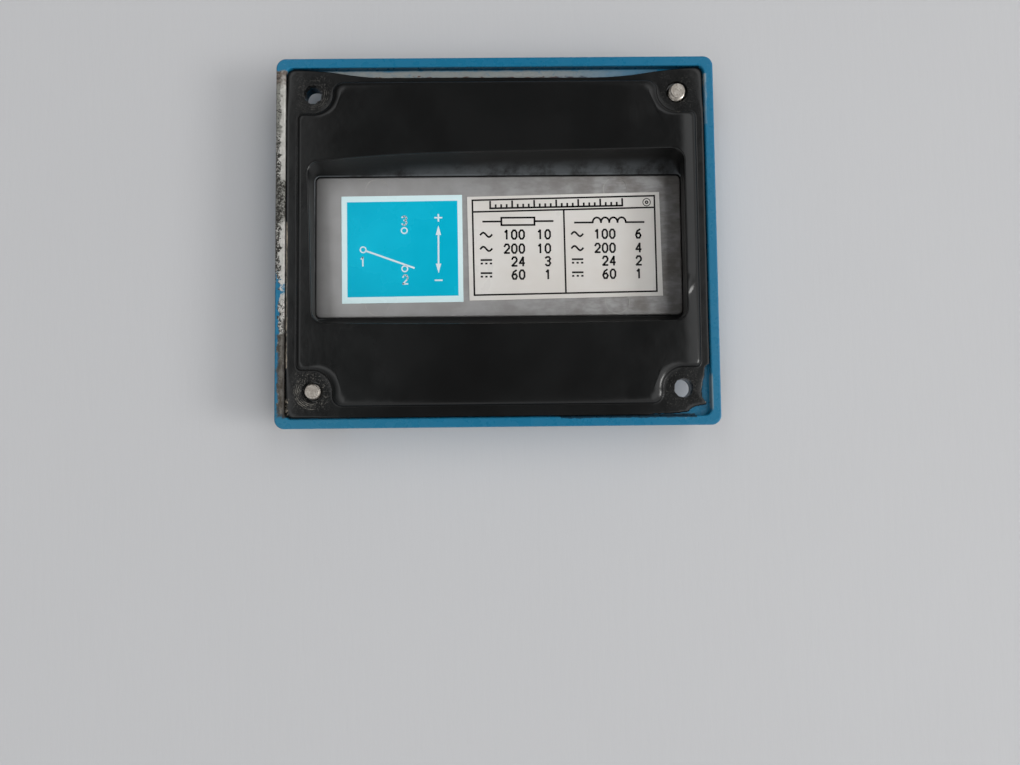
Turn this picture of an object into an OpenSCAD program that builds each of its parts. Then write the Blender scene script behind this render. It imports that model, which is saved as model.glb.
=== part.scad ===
// Cover of a differential pressure switch, lying on its front face with its inner side up.
// The casting carries a rubber liner with a window, two labels and two captive screws.
// Units are millimetres. +Z is up, out of the inner side, and the origin is the middle of the front face.

/* [Cover casting] */
// Overall width of the cover
cover_w = 108; // [104:1:114]
// Overall length of the cover
cover_l = 91.4; // [88:0.2:97]
// Height from the front face to the top of the lip
cover_h = 13; // [12.5:0.5:15]
// Corner radius of the cover, seen from above
cover_r = 2.4; // [2.2:0.1:3.2]
// Draft of the outer walls, in degrees
wall_draft = 1.5; // [0.5:0.5:2.5]
// Rounding of the front edge
front_edge_r = 1.9; // [0.6:0.1:1.9]
// Thickness of the front plate
plate_t = 3.6; // [3:0.2:4.2]
// Width of the lip that runs round the liner
lip_w = 2.35; // [2:0.05:2.8]
// Height of the lip above the seat inside it
lip_rise = 1.8; // [1.6:0.1:2.2]
// Inner corner radius of the lip
lip_r = 1.8; // [1.2:0.1:2.4]
// Rounding of the lip's top edges
lip_edge_r = 0.4; // [0.2:0.1:0.6]
// Width of the seat that carries the liner's flange
seat_w = 3.4; // [3:0.1:3.8]

/* [Screw corners] */
// Distance of each screw axis from the two nearest sides
screw_edge = 9; // [8.6:0.2:9.6]
// Thickness of the ledge under each corner of the liner
ledge_t = 3; // [2.6:0.2:3.4]
// Diameter of the screw hole through each ledge
ledge_hole_d = 4.5; // [4.4:0.1:5]
// Radius of the open well round each screw head
well_r = 5.6; // [5.2:0.2:6]
// Chamfer at the mouth of each well
well_chamfer = 0.8; // [0.4:0.2:1.2]
// Metal between a well and the hollow behind the liner
well_wall = 3; // [2.6:0.2:3.2]

/* [Label pad] */
// Length of the raised pad that carries the labels
pad_l = 35.9; // [33:0.1:38]
// Height of the pad above the inside of the front plate
pad_rise = 2.2; // [1.6:0.2:2.8]
// Offset of the pad's middle towards the top edge
pad_shift = 0.1; // [0:0.1:0.6]
// Offset of the pad's middle towards the right edge
pad_shift_right = 0.5; // [0:0.1:0.6]
// Corner radius and edge rounding of the pad
pad_r = 1.2; // [1:0.1:2]
// Radius of each round ejector mark in the pad
mark_r = 3; // [2.5:0.1:3.4]
// Depth of each ejector mark
mark_depth = 0.15; // [0.1:0.05:0.3]
// Distance between the left and right ejector marks, from middle to middle
mark_space = 60.6; // [56:0.2:66]
// Distance from the pad's top and bottom edges to the middle of an ejector mark
mark_edge_y = 3.5; // [3.2:0.1:5]

/* [Front field] */
// Distance from the cover's sides to the shallow plain field in the front face
field_edge = 17; // [16:0.5:24]
// Depth of the field
field_depth = 0.8; // [0.4:0.1:1]
// Corner radius of the field
field_r = 3; // [2:0.5:6]

/* [Liner] */
// Thickness of the rubber
liner_t = 1.4; // [1.2:0.1:1.6]
// Clearance between the flange and the lip
liner_gap = 0.2; // [0.1:0.05:0.3]
// Height of the plateau above the flange
plateau_rise = 1.8; // [1.7:0.1:2.4]
// Width of the flat flange to the left and right of the plateau
flange_side = 2.35; // [2:0.05:2.8]
// Width of the flat flange above and below the plateau
flange_end = 3.15; // [2.8:0.05:3.6]
// Offset of the plateau's middle towards the right edge
plateau_shift_x = 0.3; // [0:0.1:0.4]
// Offset of the plateau's middle towards the top edge
plateau_shift_y = -0.4; // [-0.5:0.1:0]
// Rounding of the plateau's top edge
plateau_edge_r = 1; // [0.6:0.1:1.1]
// Fillet at the foot of the plateau
plateau_foot_r = 0.6; // [0.3:0.1:0.6]
// Radius of the notch round each screw tab
tab_r = 5; // [4.6:0.1:5.4]
// How far the shrunken top edge of the flange has drawn in
edge_bow = 2.1; // [0:0.1:2.3]

/* [Liner window] */
// Width of the ridge to the left and right of the window
ridge_w = 2.55; // [2.5:0.05:3.4]
// Gap between the pad and the foot of the window's walls
window_gap = 0.15; // [0.1:0.05:0.3]
// How far the window's left and right walls lean in towards the rim
rim_lean = 0.9; // [0.4:0.1:1.2]
// Slope of the wall at the top of the window, measured across
top_slope = 3.3; // [2:0.1:3.8]
// Slope of the wall at the bottom of the window, measured across
bottom_slope = 2.4; // [2:0.1:3.4]
// Rounding of the window's rim
rim_edge_r = 0.9; // [0.5:0.1:1]
// Corner radius of the window at its rim
rim_corner_r = 3; // [2.2:0.1:3.4]
// Sag of the rim at its top left corner
rim_dip = 2; // [0:0.1:2.2]
// Thickness of the window's walls
window_wall_t = 0.9; // [0.8:0.1:1.1]

/* [Liner holes] */
// Diameter of the wide part of each hole that holds a screw
tab_hole_d = 5.2; // [5:0.1:5.6]
// Thickness of the lip that grips a screw
grip_t = 0.5; // [0.4:0.1:0.7]
// Clearance between the gripping lip and the screw's thread, on the radius
grip_gap = 0.05; // [0.03:0.01:0.08]
// Diameter of the two holes that have lost their screws
open_hole_d = 4.7; // [4.6:0.1:5]
// Length of the piece torn off the liner's bottom right corner
torn_l = 12; // [8:1:14]
// Width of the piece torn off
torn_w = 1.6; // [1:0.1:1.8]

/* [Labels] */
// Thickness of both labels
label_t = 0.15; // [0.1:0.05:0.25]
// Space between the pad's left edge and the wiring label
wiring_left = 6.65; // [5:0.05:8]
// Width of the wiring label
wiring_w = 30.6; // [28:0.2:33]
// Space between the two labels
label_space = 1.4; // [1:0.1:2]
// Space between the rating label and the pad's right edge
rating_right = 5.25; // [3:0.05:6]
// Space between the pad's top edge and both labels
label_top = 4.85; // [4:0.05:6]
// Space between the wiring label and the pad's bottom edge
wiring_bottom = 3.65; // [2:0.05:5]
// Space between the rating label and the pad's bottom edge
rating_bottom = 4.45; // [3:0.05:5]
// Turn of the wiring label, in degrees
wiring_turn = 0.4; // [0:0.1:1]
// Turn of the rating label, in degrees
rating_turn = 1; // [0:0.1:1.2]

/* [Screws] */
// Nominal diameter of the screws
screw_d = 4; // [3.9:0.05:4.1]
// Chamfer at the tip of a screw
tip_chamfer = 0.35; // [0.2:0.05:0.5]
// Diameter of the round head
head_d = 7; // [6.6:0.1:7.4]
// Height of the head
head_h = 2.6; // [2.2:0.1:2.6]
// Width of the cross recess from end to end
recess_w = 4; // [3.4:0.1:4.4]
// Width of one arm of the cross recess
recess_arm = 0.9; // [0.7:0.1:1.1]
// Depth of the cross recess
recess_depth = 1.5; // [1.2:0.1:1.8]
// How far the tip of the top right screw stands above the liner's tab
top_right_proud = 1; // [0.2:0.1:1.2]
// How far the tip of the bottom left screw stands above the liner's tab
bottom_left_proud = 0.1; // [0.1:0.05:0.3]
// How far inside the front face the head of the bottom left screw ends
head_inset = 0.1; // [0.1:0.1:0.6]

/* [Washers] */
// Clearance between the washers' holes and the screw, on the radius
washer_gap = 0.08; // [0.05:0.01:0.15]
// Outer diameter of the spring washer
spring_washer_d = 7.6; // [7.2:0.1:7.8]
// Thickness of the spring washer's wire
spring_washer_t = 1; // [0.8:0.1:1.1]
// Rise of the spring washer from end to end when it is free
spring_washer_rise = 0.6; // [0.3:0.1:0.8]
// Split between the ends of the spring washer, in degrees
spring_washer_split = 14; // [8:1:24]
// Outer diameter of the plain washer
plain_washer_d = 9; // [8.4:0.1:9.4]
// Thickness of the plain washer
plain_washer_t = 0.8; // [0.6:0.1:1]
// Slack between the screw head and its spring washer
head_slack = 0.02; // [0.01:0.01:0.05]

/* [Hidden] */
$fn = 64;

// Cuts run this far past the faces that they open
over = 1;
// Points on a quarter turn of the liner's moulded edges
arc_steps = 5;
// How sharply the window's walls curve out at their foot
COVE = 3;
// The foot of the plateau spreads this far inside the flange, and ends this far below its top
foot_spread = 0.25;
foot_sink = 0.05;

// Heights above the front face
seat_z = cover_h - lip_rise;
ledge_z = seat_z - ledge_t;
tab_z = seat_z + liner_t;
plateau_z = tab_z + plateau_rise;
pad_z = plate_t + pad_rise;

// Inner sizes of the casting
pocket_w = cover_w - 2 * lip_w;
pocket_l = cover_l - 2 * lip_w;
hollow_w = pocket_w - 2 * seat_w;
hollow_l = pocket_l - 2 * seat_w;
plateau_w = pocket_w - 2 * (liner_gap + flange_side);
plateau_l = pocket_l - 2 * (liner_gap + flange_end);
pad_w = plateau_w - 2 * (ridge_w + window_gap);
screw_x = cover_w / 2 - screw_edge;
screw_y = cover_l / 2 - screw_edge;
screw_len = tab_z + bottom_left_proud - head_h - head_inset;
draft_run = (cover_h - front_edge_r) * tan(wall_draft);
front_r = min(front_edge_r, 0.95 * (cover_r - draft_run));

// Corner signs: top right, top left, bottom left, bottom right
CORNERS = [[1, 1], [-1, 1], [-1, -1], [1, -1]];
HELD_CORNERS = [[1, 1], [-1, -1]];
OPEN_CORNERS = [[-1, 1], [1, -1]];

// Colours as they look in daylight
BLUE = [0.13, 0.44, 0.60];
BLACK = [0.10, 0.10, 0.10];
CYAN = [0.02, 0.64, 0.77];
OFF_WHITE = [0.80, 0.79, 0.76];
STEEL = [0.62, 0.58, 0.53];

// Plan shapes with true arcs

module plan_rect(w, l, r) {
  square([w - 2 * r, l], center = true);
  square([w, l - 2 * r], center = true);
  for (s = CORNERS)
    translate([s.x * (w / 2 - r), s.y * (l / 2 - r)])
      circle(r = r);
}

// Quarter of a plane that starts at a round nose of radius r and opens towards +X and +Y
module corner_plan(r, reach) {
  circle(r = r);
  translate([0, -r])
    square([reach, r + reach]);
  translate([-r, 0])
    square([r + reach, reach]);
}

// Puts a child made for the top right screw at every screw in the list
module at_screws(list) {
  for (s = list)
    mirror([s.x < 0 ? 1 : 0, 0, 0])
      mirror([0, s.y < 0 ? 1 : 0, 0])
        translate([screw_x, screw_y, 0])
          children();
}

// Runs a wall profile round a rectangle of corner radius r. The profile's x is measured outwards
// from the centre line of the corners, and its y is the height.
module swept_round(w, l, r) {
  for (turn = [0, 180]) {
    rotate(turn)
      translate([w / 2 - r, 0, 0])
        rotate([90, 0, 0])
          linear_extrude(height = l - 2 * r, center = true)
            children();
    rotate(turn + 90)
      translate([l / 2 - r, 0, 0])
        rotate([90, 0, 0])
          linear_extrude(height = w - 2 * r, center = true)
            children();
  }
  for (k = [0:3])
    translate([CORNERS[k].x * (w / 2 - r), CORNERS[k].y * (l / 2 - r), 0])
      rotate(90 * k)
        rotate_extrude(angle = 90)
          children();
}

module swept_core(w, l, r, z0, z1) {
  translate([-w / 2 + r, -l / 2 + r, z0])
    cube([w - 2 * r, l - 2 * r, z1 - z0]);
}

// Cover casting

module outer_wall_profile() {
  lean = tan(wall_draft);
  side_x = cover_r - (cover_h - front_r) * lean;
  nose_x = side_x - front_r / cos(wall_draft);
  polygon([
    [0, 0],
    [nose_x, 0],
    [nose_x + front_r * cos(wall_draft), front_r * (1 - sin(wall_draft))],
    [cover_r - lip_edge_r * lean, cover_h - lip_edge_r],
    [cover_r - lip_edge_r, cover_h],
    [0, cover_h]
  ]);
  translate([nose_x, front_r])
    circle(r = front_r);
  translate([cover_r - lip_edge_r * (1 + lean), cover_h - lip_edge_r])
    circle(r = lip_edge_r);
}

module outer_body() {
  swept_round(cover_w, cover_l, cover_r)
    intersection() {
      outer_wall_profile();
      square([cover_r, cover_h]);
    }
  swept_core(cover_w, cover_l, cover_r, 0, cover_h);
}

// Room inside the lip, with the lip's inner edge left round
module lip_pocket() {
  swept_round(pocket_w, pocket_l, lip_r) {
    translate([0, seat_z])
      square([lip_r, lip_rise + over]);
    difference() {
      translate([0, cover_h - lip_edge_r])
        square([lip_r + lip_edge_r, lip_edge_r + over]);
      translate([lip_r + lip_edge_r, cover_h - lip_edge_r])
        circle(r = lip_edge_r);
    }
  }
  swept_core(pocket_w, pocket_l, lip_r, seat_z, cover_h + over);
}

// Hollow behind the liner, kept away from the four wells
module hollow() {
  translate([0, 0, plate_t])
    linear_extrude(height = cover_h)
      difference() {
        plan_rect(hollow_w, hollow_l, 2 * lip_r);
        at_screws(CORNERS)
          corner_plan(well_r + well_wall, cover_l);
      }
}

module label_pad() {
  edge = pad_r / 3;
  translate([pad_shift_right, pad_shift, 0]) {
    swept_round(pad_w, pad_l, pad_r) {
      square([pad_r, pad_z - edge]);
      square([pad_r - edge, pad_z]);
      translate([pad_r - edge, pad_z - edge])
        circle(r = edge);
    }
    swept_core(pad_w, pad_l, pad_r, 0, pad_z);
  }
}

// Well under one ledge, open to both sides of the corner, with a chamfered mouth
module corner_well() {
  reach = 2 * screw_edge;
  translate([0, 0, -over])
    linear_extrude(height = ledge_z + over)
      corner_plan(well_r, reach);
  cylinder(h = well_chamfer, r1 = well_r + well_chamfer, r2 = well_r);
  mouth = [[-well_r, well_chamfer], [-well_r - well_chamfer, 0], [-well_r, 0]];
  rotate([90, 0, 90])
    linear_extrude(height = reach)
      polygon(mouth);
  rotate([90, 0, 0])
    mirror([0, 0, 1])
      linear_extrude(height = reach)
        polygon(mouth);
}

module cover_casting() {
  color(BLUE)
    difference() {
      union() {
        difference() {
          outer_body();
          lip_pocket();
          hollow();
        }
        label_pad();
      }
      at_screws(CORNERS) {
        corner_well();
        cylinder(h = cover_h, d = ledge_hole_d);
      }
      for (s = CORNERS)
        translate([
          s.x * mark_space / 2,
          pad_shift + s.y * (pad_l / 2 - mark_edge_y),
          pad_z - mark_depth
        ])
          cylinder(h = over, r = mark_r);
      translate([0, 0, -over])
        linear_extrude(height = field_depth + over)
          plan_rect(cover_w - 2 * field_edge, cover_l - 2 * field_edge, field_r);
    }
}

// Liner

// Points of one arc from angle a0 to a1
function arc(c, r, a0, a1) =
  [for (k = [0:arc_steps - 1]) let (a = a0 + (a1 - a0) * k / (arc_steps - 1)) c + r * [cos(a), sin(a)]];

function backwards(list) = [for (k = [len(list) - 1:-1:0]) list[k]];

// Outline of the plateau in one quarter, drawn in by d: a nose at the side, the notch round
// the screw, and a nose at the end
function plateau_quarter(s, d) =
  let (
    a = plateau_w / 2 + s.x * plateau_shift_x - d,
    b = plateau_l / 2 + s.y * plateau_shift_y - d,
    nose = max(plateau_edge_r - d, 0.05) + 0.6,
    notch_x = screw_x - tab_r - d,
    notch_y = screw_y - tab_r - d,
    quarter = concat(
      arc([a - nose, notch_y - nose], nose, 0, 90),
      arc([screw_x, screw_y], tab_r + d, 270, 180),
      arc([notch_x - nose, b - nose], nose, 0, 90)
    ),
    placed = [for (p = quarter) [s.x * p.x, s.y * p.y]]
  )
  s.x * s.y > 0 ? placed : backwards(placed);

function plateau_outline(d) = [for (s = CORNERS) each plateau_quarter(s, d)];

function raise(outline, z) = [for (p = outline) [p.x, p.y, z]];

// Closed skin through rings of equal length, from the last ring back to the first
module ring_skin(rings) {
  n = len(rings[0]);
  m = len(rings);
  polyhedron(
    points = [for (ring = rings) each ring],
    faces = [for (j = [0:m - 1], k = [0:n - 1])
      let (here = j * n, there = (j + 1) % m * n, next = (k + 1) % n)
      each [
        [here + k, there + next, here + next],
        [here + k, there + k, there + next]
      ]]
  );
}

// One quarter of a ring of the window's wall. wall is how far the ring lies outside the window's
// inner face, and depth runs from 0 at the rim to 1 at the pad.
function window_quarter(s, wall, depth) =
  let (
    cove = pow(depth, COVE),
    mid_x = plateau_shift_x + (pad_shift_right - plateau_shift_x) * cove,
    half_w = pad_w / 2 + window_gap - rim_lean * (1 - cove) + wall,
    low = pad_shift - pad_l / 2 - window_gap - bottom_slope * (1 - cove) - wall,
    high = pad_shift + pad_l / 2 + window_gap + top_slope * (1 - cove) + wall,
    r = rim_corner_r + (pad_r - rim_corner_r) * cove + wall,
    dip = rim_dip * (1 - cove),
    end_y = function(x) s.y < 0 ? low : x > 0 ? high : high - dip * pow(x / half_w, 2),
    corner_x = s.x * (half_w - r),
    corner_y = end_y(corner_x) - s.y * r,
    parts = [for (k = [0:arc_steps - 1]) (k + 0.5) / arc_steps],
    quarter = concat(
      [for (t = parts) [s.x * half_w, pad_shift + (corner_y - pad_shift) * t]],
      [for (p = arc([0, 0], r, 0, 90)) [corner_x + s.x * p.x, corner_y + s.y * p.y]],
      [for (t = parts) [corner_x * (1 - t), end_y(corner_x * (1 - t))]]
    ),
    placed = [for (p = quarter) [mid_x + p.x, p.y]]
  )
  s.x * s.y > 0 ? placed : backwards(placed);

function window_ring(wall, depth, z) =
  raise([for (s = CORNERS) each window_quarter(s, wall, depth)], z);

DEPTHS = [0.2, 0.45, 0.65, 0.8, 0.91, 1];

// Height of a ring at the given depth, below the rounded rim
function ring_z(depth) = plateau_z - rim_edge_r - (plateau_z - rim_edge_r - pad_z) * depth;

// Plateau and window in one skin: up the plateau's foot and edge, over the rim, down the window,
// and back up along the underside
module plateau_and_window() {
  turns = [for (k = [0:4]) k * 22.5];
  foot = plateau_outline(-plateau_foot_r - foot_spread);
  inside = plateau_outline(liner_t);
  under_z = plateau_z - liner_t;
  ring_skin(concat(
    [raise(foot, seat_z + liner_t / 2), raise(foot, tab_z - foot_sink)],
    [for (k = [1:4])
      raise(
        plateau_outline(plateau_foot_r * (sin(turns[k]) - 1)),
        tab_z + plateau_foot_r * (1 - cos(turns[k])))],
    [for (a = turns)
      raise(
        plateau_outline(plateau_edge_r * (1 - cos(a))),
        plateau_z - plateau_edge_r * (1 - sin(a)))],
    [for (a = turns)
      window_ring(rim_edge_r * (1 - sin(a)), 0, plateau_z - rim_edge_r * (1 - cos(a)))],
    [for (t = DEPTHS) window_ring(0, t, ring_z(t))],
    [window_ring(0, 1, plate_t), window_ring(window_wall_t, 1, plate_t)],
    [for (t = backwards(DEPTHS)) window_ring(window_wall_t, t, ring_z(t))],
    [window_ring(window_wall_t, 0, under_z)],
    [raise(inside, under_z), raise(inside, seat_z + liner_t / 2)]
  ));
}

// How far the flange's top edge has drawn in at x: quickly from the left, slowly from the right
function ease(t) = let (u = min(max(t, 0), 1)) u * u * (3 - 2 * u);
function edge_bow_at(u) = edge_bow * ease((u + 0.82) / 0.22) * ease((0.96 - u) / 0.5);

module flange_plan() {
  half_w = pocket_w / 2 - liner_gap;
  half_l = pocket_l / 2 - liner_gap;
  bow_start = -0.82;
  bow_end = 0.96;
  difference() {
    plan_rect(2 * half_w, 2 * half_l, lip_r);
    polygon(plateau_outline(liner_t + foot_spread));
    polygon(concat(
      [[bow_start * half_w, half_l + over]],
      [for (k = [1:31])
        let (u = bow_start + (bow_end - bow_start) * k / 32)
        [u * half_w, half_l - edge_bow_at(u)]],
      [[bow_end * half_w, half_l + over]]
    ));
    translate([half_w, -half_l])
      polygon([
        [over, torn_l * 1.1],
        [-torn_w * 0.8, torn_l * 0.84],
        [-torn_w * 0.6, torn_l * 0.62],
        [-torn_w, torn_l * 0.42],
        [-torn_w * 0.3, torn_l * 0.2],
        [-torn_w * 2.4, torn_l * 0.08],
        [-torn_w * 3, -over],
        [over, -over]
      ]);
  }
}

module liner() {
  color(BLACK)
    difference() {
      union() {
        translate([0, 0, seat_z])
          linear_extrude(height = liner_t)
            flange_plan();
        plateau_and_window();
      }
      at_screws(HELD_CORNERS) {
        translate([0, 0, seat_z - over])
          cylinder(h = liner_t + 2 * over, r = screw_d / 2 + grip_gap);
        translate([0, 0, seat_z + grip_t])
          cylinder(h = liner_t + over, d = tab_hole_d);
      }
      at_screws(OPEN_CORNERS)
        translate([0, 0, seat_z - over])
          cylinder(h = liner_t + 2 * over, d = open_hole_d);
    }
}

// Labels

// Film on the pad, between the given distances from the pad's four edges
module label_film(left, right, bottom, turn) {
  w = pad_w - left - right;
  l = pad_l - label_top - bottom;
  translate([pad_shift_right + (left - right) / 2, pad_shift + (bottom - label_top) / 2, pad_z])
    rotate(turn)
      translate([-w / 2, -l / 2, 0])
        cube([w, l, label_t]);
}

module wiring_label() {
  color(CYAN)
    label_film(wiring_left, pad_w - wiring_left - wiring_w, wiring_bottom, wiring_turn);
}

module rating_label() {
  color(OFF_WHITE)
    label_film(wiring_left + wiring_w + label_space, rating_right, rating_bottom, rating_turn);
}

// Screws and washers. Heights are set by how far the tip stands above the liner's tab.

function head_z(proud) = tab_z + proud - screw_len;

module screw_shape() {
  // Head with a round outer edge, domed towards its drive side
  side_h = 0.55 * head_h;
  dome_r = (pow(head_d / 2, 2) + pow(head_h - side_h, 2)) / (2 * (head_h - side_h));
  difference() {
    union() {
      rotate_extrude()
        intersection() {
          translate([0, -head_h])
            square([head_d / 2, head_h]);
          translate([0, -head_h + dome_r])
            circle(r = dome_r, $fn = 180);
        }
      cylinder(h = screw_len - tip_chamfer, d = screw_d);
      translate([0, 0, screw_len - tip_chamfer])
        cylinder(h = tip_chamfer, d1 = screw_d, d2 = screw_d - 2 * tip_chamfer);
    }
    for (turn = [0, 90])
      rotate(turn)
        translate([-recess_w / 2, -recess_arm / 2, -head_h - over])
          cube([recess_w, recess_arm, recess_depth + over]);
  }
}

module spring_washer_shape() {
  inner = screw_d / 2 + washer_gap;
  outer = spring_washer_d / 2;
  steps = 40;
  sweep = 360 - spring_washer_split;
  points = [for (k = [0:steps])
    let (a = spring_washer_split / 2 + sweep * k / steps, z = spring_washer_rise * k / steps)
      each [
        [inner * cos(a), inner * sin(a), z],
        [outer * cos(a), outer * sin(a), z],
        [outer * cos(a), outer * sin(a), z + spring_washer_t],
        [inner * cos(a), inner * sin(a), z + spring_washer_t]
      ]];
  polyhedron(
    points = points,
    faces = concat(
      [[0, 1, 2, 3]],
      [for (k = [0:steps - 1], e = [0:3])
        each [
          [4 * k + e, 4 * k + 4 + e, 4 * k + (e + 1) % 4],
          [4 * k + 4 + e, 4 * k + 4 + (e + 1) % 4, 4 * k + (e + 1) % 4]
        ]],
      [[4 * steps + 3, 4 * steps + 2, 4 * steps + 1, 4 * steps]]
    )
  );
}

module plain_washer_shape() {
  difference() {
    cylinder(h = plain_washer_t, d = plain_washer_d);
    translate([0, 0, -over])
      cylinder(h = plain_washer_t + 2 * over, r = screw_d / 2 + 2 * washer_gap);
  }
}

module placed_screw(corner, proud) {
  color(STEEL)
    translate([corner.x * screw_x, corner.y * screw_y, head_z(proud)])
      screw_shape();
}

module placed_spring_washer(corner, proud) {
  color(STEEL)
    translate([corner.x * screw_x, corner.y * screw_y, head_z(proud) + head_slack])
      spring_washer_shape();
}

module placed_plain_washer(corner, proud) {
  stack = head_slack + spring_washer_t + spring_washer_rise;
  color(STEEL)
    translate([corner.x * screw_x, corner.y * screw_y, head_z(proud) + stack])
      plain_washer_shape();
}

module screw_top_right() {
  placed_screw([1, 1], top_right_proud);
}

module spring_washer_top_right() {
  placed_spring_washer([1, 1], top_right_proud);
}

module plain_washer_top_right() {
  placed_plain_washer([1, 1], top_right_proud);
}

module screw_bottom_left() {
  placed_screw([-1, -1], bottom_left_proud);
}

module spring_washer_bottom_left() {
  placed_spring_washer([-1, -1], bottom_left_proud);
}

module plain_washer_bottom_left() {
  placed_plain_washer([-1, -1], bottom_left_proud);
}

cover_casting();
liner();
wiring_label();
rating_label();
screw_top_right();
spring_washer_top_right();
plain_washer_top_right();
screw_bottom_left();
spring_washer_bottom_left();
plain_washer_bottom_left();
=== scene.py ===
"""Looks of the cover of a differential pressure switch, lying on its front face.

The frame holds the exact metal parts. This script gives them their finishes and models the moulded
rubber liner, the prints on the labels, the threaded screws and the spring washers in the same frame.
Sizes are in millimetres and become metres when a mesh is made.
"""
import logging
import math
from collections.abc import Callable, Sequence
from dataclasses import dataclass, field
from enum import Enum

import bmesh
import bpy
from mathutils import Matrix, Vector, noise


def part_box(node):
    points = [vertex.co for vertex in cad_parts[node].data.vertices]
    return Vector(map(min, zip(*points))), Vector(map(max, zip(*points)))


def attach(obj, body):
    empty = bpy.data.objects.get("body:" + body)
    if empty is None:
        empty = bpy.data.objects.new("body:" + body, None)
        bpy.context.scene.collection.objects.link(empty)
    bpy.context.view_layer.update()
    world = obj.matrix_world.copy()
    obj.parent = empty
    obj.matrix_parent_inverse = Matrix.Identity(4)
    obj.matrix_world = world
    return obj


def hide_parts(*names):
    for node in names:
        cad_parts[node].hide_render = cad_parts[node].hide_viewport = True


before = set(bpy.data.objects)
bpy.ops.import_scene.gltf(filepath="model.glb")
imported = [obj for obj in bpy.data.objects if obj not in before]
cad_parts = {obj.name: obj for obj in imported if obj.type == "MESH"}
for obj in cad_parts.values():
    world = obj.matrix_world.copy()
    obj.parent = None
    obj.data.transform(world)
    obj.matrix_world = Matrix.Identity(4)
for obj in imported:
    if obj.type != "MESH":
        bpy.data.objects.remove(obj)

MM = 0.001
LOG = logging.getLogger("cover")

Colour = tuple[float, float, float, float]
Pair = tuple[float, float]
Triple = tuple[float, float, float]
Shape = bmesh.types.BMesh
Piece = bpy.types.Object
Material = bpy.types.Material
Mesh = bpy.types.Mesh
Tree = bpy.types.NodeTree
Node = bpy.types.Node
Socket = bpy.types.NodeSocket
Feed = Socket | float | tuple[float, ...]

SCREW_AT: Pair = (45.0, 36.7)


def srgb(red: float, green: float, blue: float) -> Colour:
    """Turn a colour as a screen shows it into the linear colour that a shader takes.

    Args:
        red: Red part, 0 to 255.
        green: Green part, 0 to 255.
        blue: Blue part, 0 to 255.

    Returns:
        The linear colour with full alpha.
    """
    def linear(part: float) -> float:
        """Undo the screen curve of one part."""
        share = part / 255
        return share / 12.92 if share <= 0.04045 else ((share + 0.055) / 1.055) ** 2.4

    return (linear(red), linear(green), linear(blue), 1.0)


def ease(share: float) -> float:
    """Rise smoothly from 0 to 1 while share goes from 0 to 1."""
    share = min(max(share, 0.0), 1.0)
    return share * share * (3 - 2 * share)


def between(points: Sequence[Pair], at: float) -> float:
    """Read a broken line at one place.

    Args:
        points: Pairs of place and value, with rising places.
        at: Place to read.

    Returns:
        The value there, held level beyond both ends.
    """
    if at <= points[0][0]:
        return points[0][1]
    for (x0, y0), (x1, y1) in zip(points, points[1:]):
        if at <= x1:
            return y0 + (y1 - y0) * (at - x0) / (x1 - x0)
    return points[-1][1]


def wobble(place: Vector, size: float, seed: float = 0.0) -> float:
    """Give smooth noise from about -1 to 1 whose lumps are size millimetres wide."""
    return noise.noise(Vector((place.x / size + seed, place.y / size - seed, place.z / size)))


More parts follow.
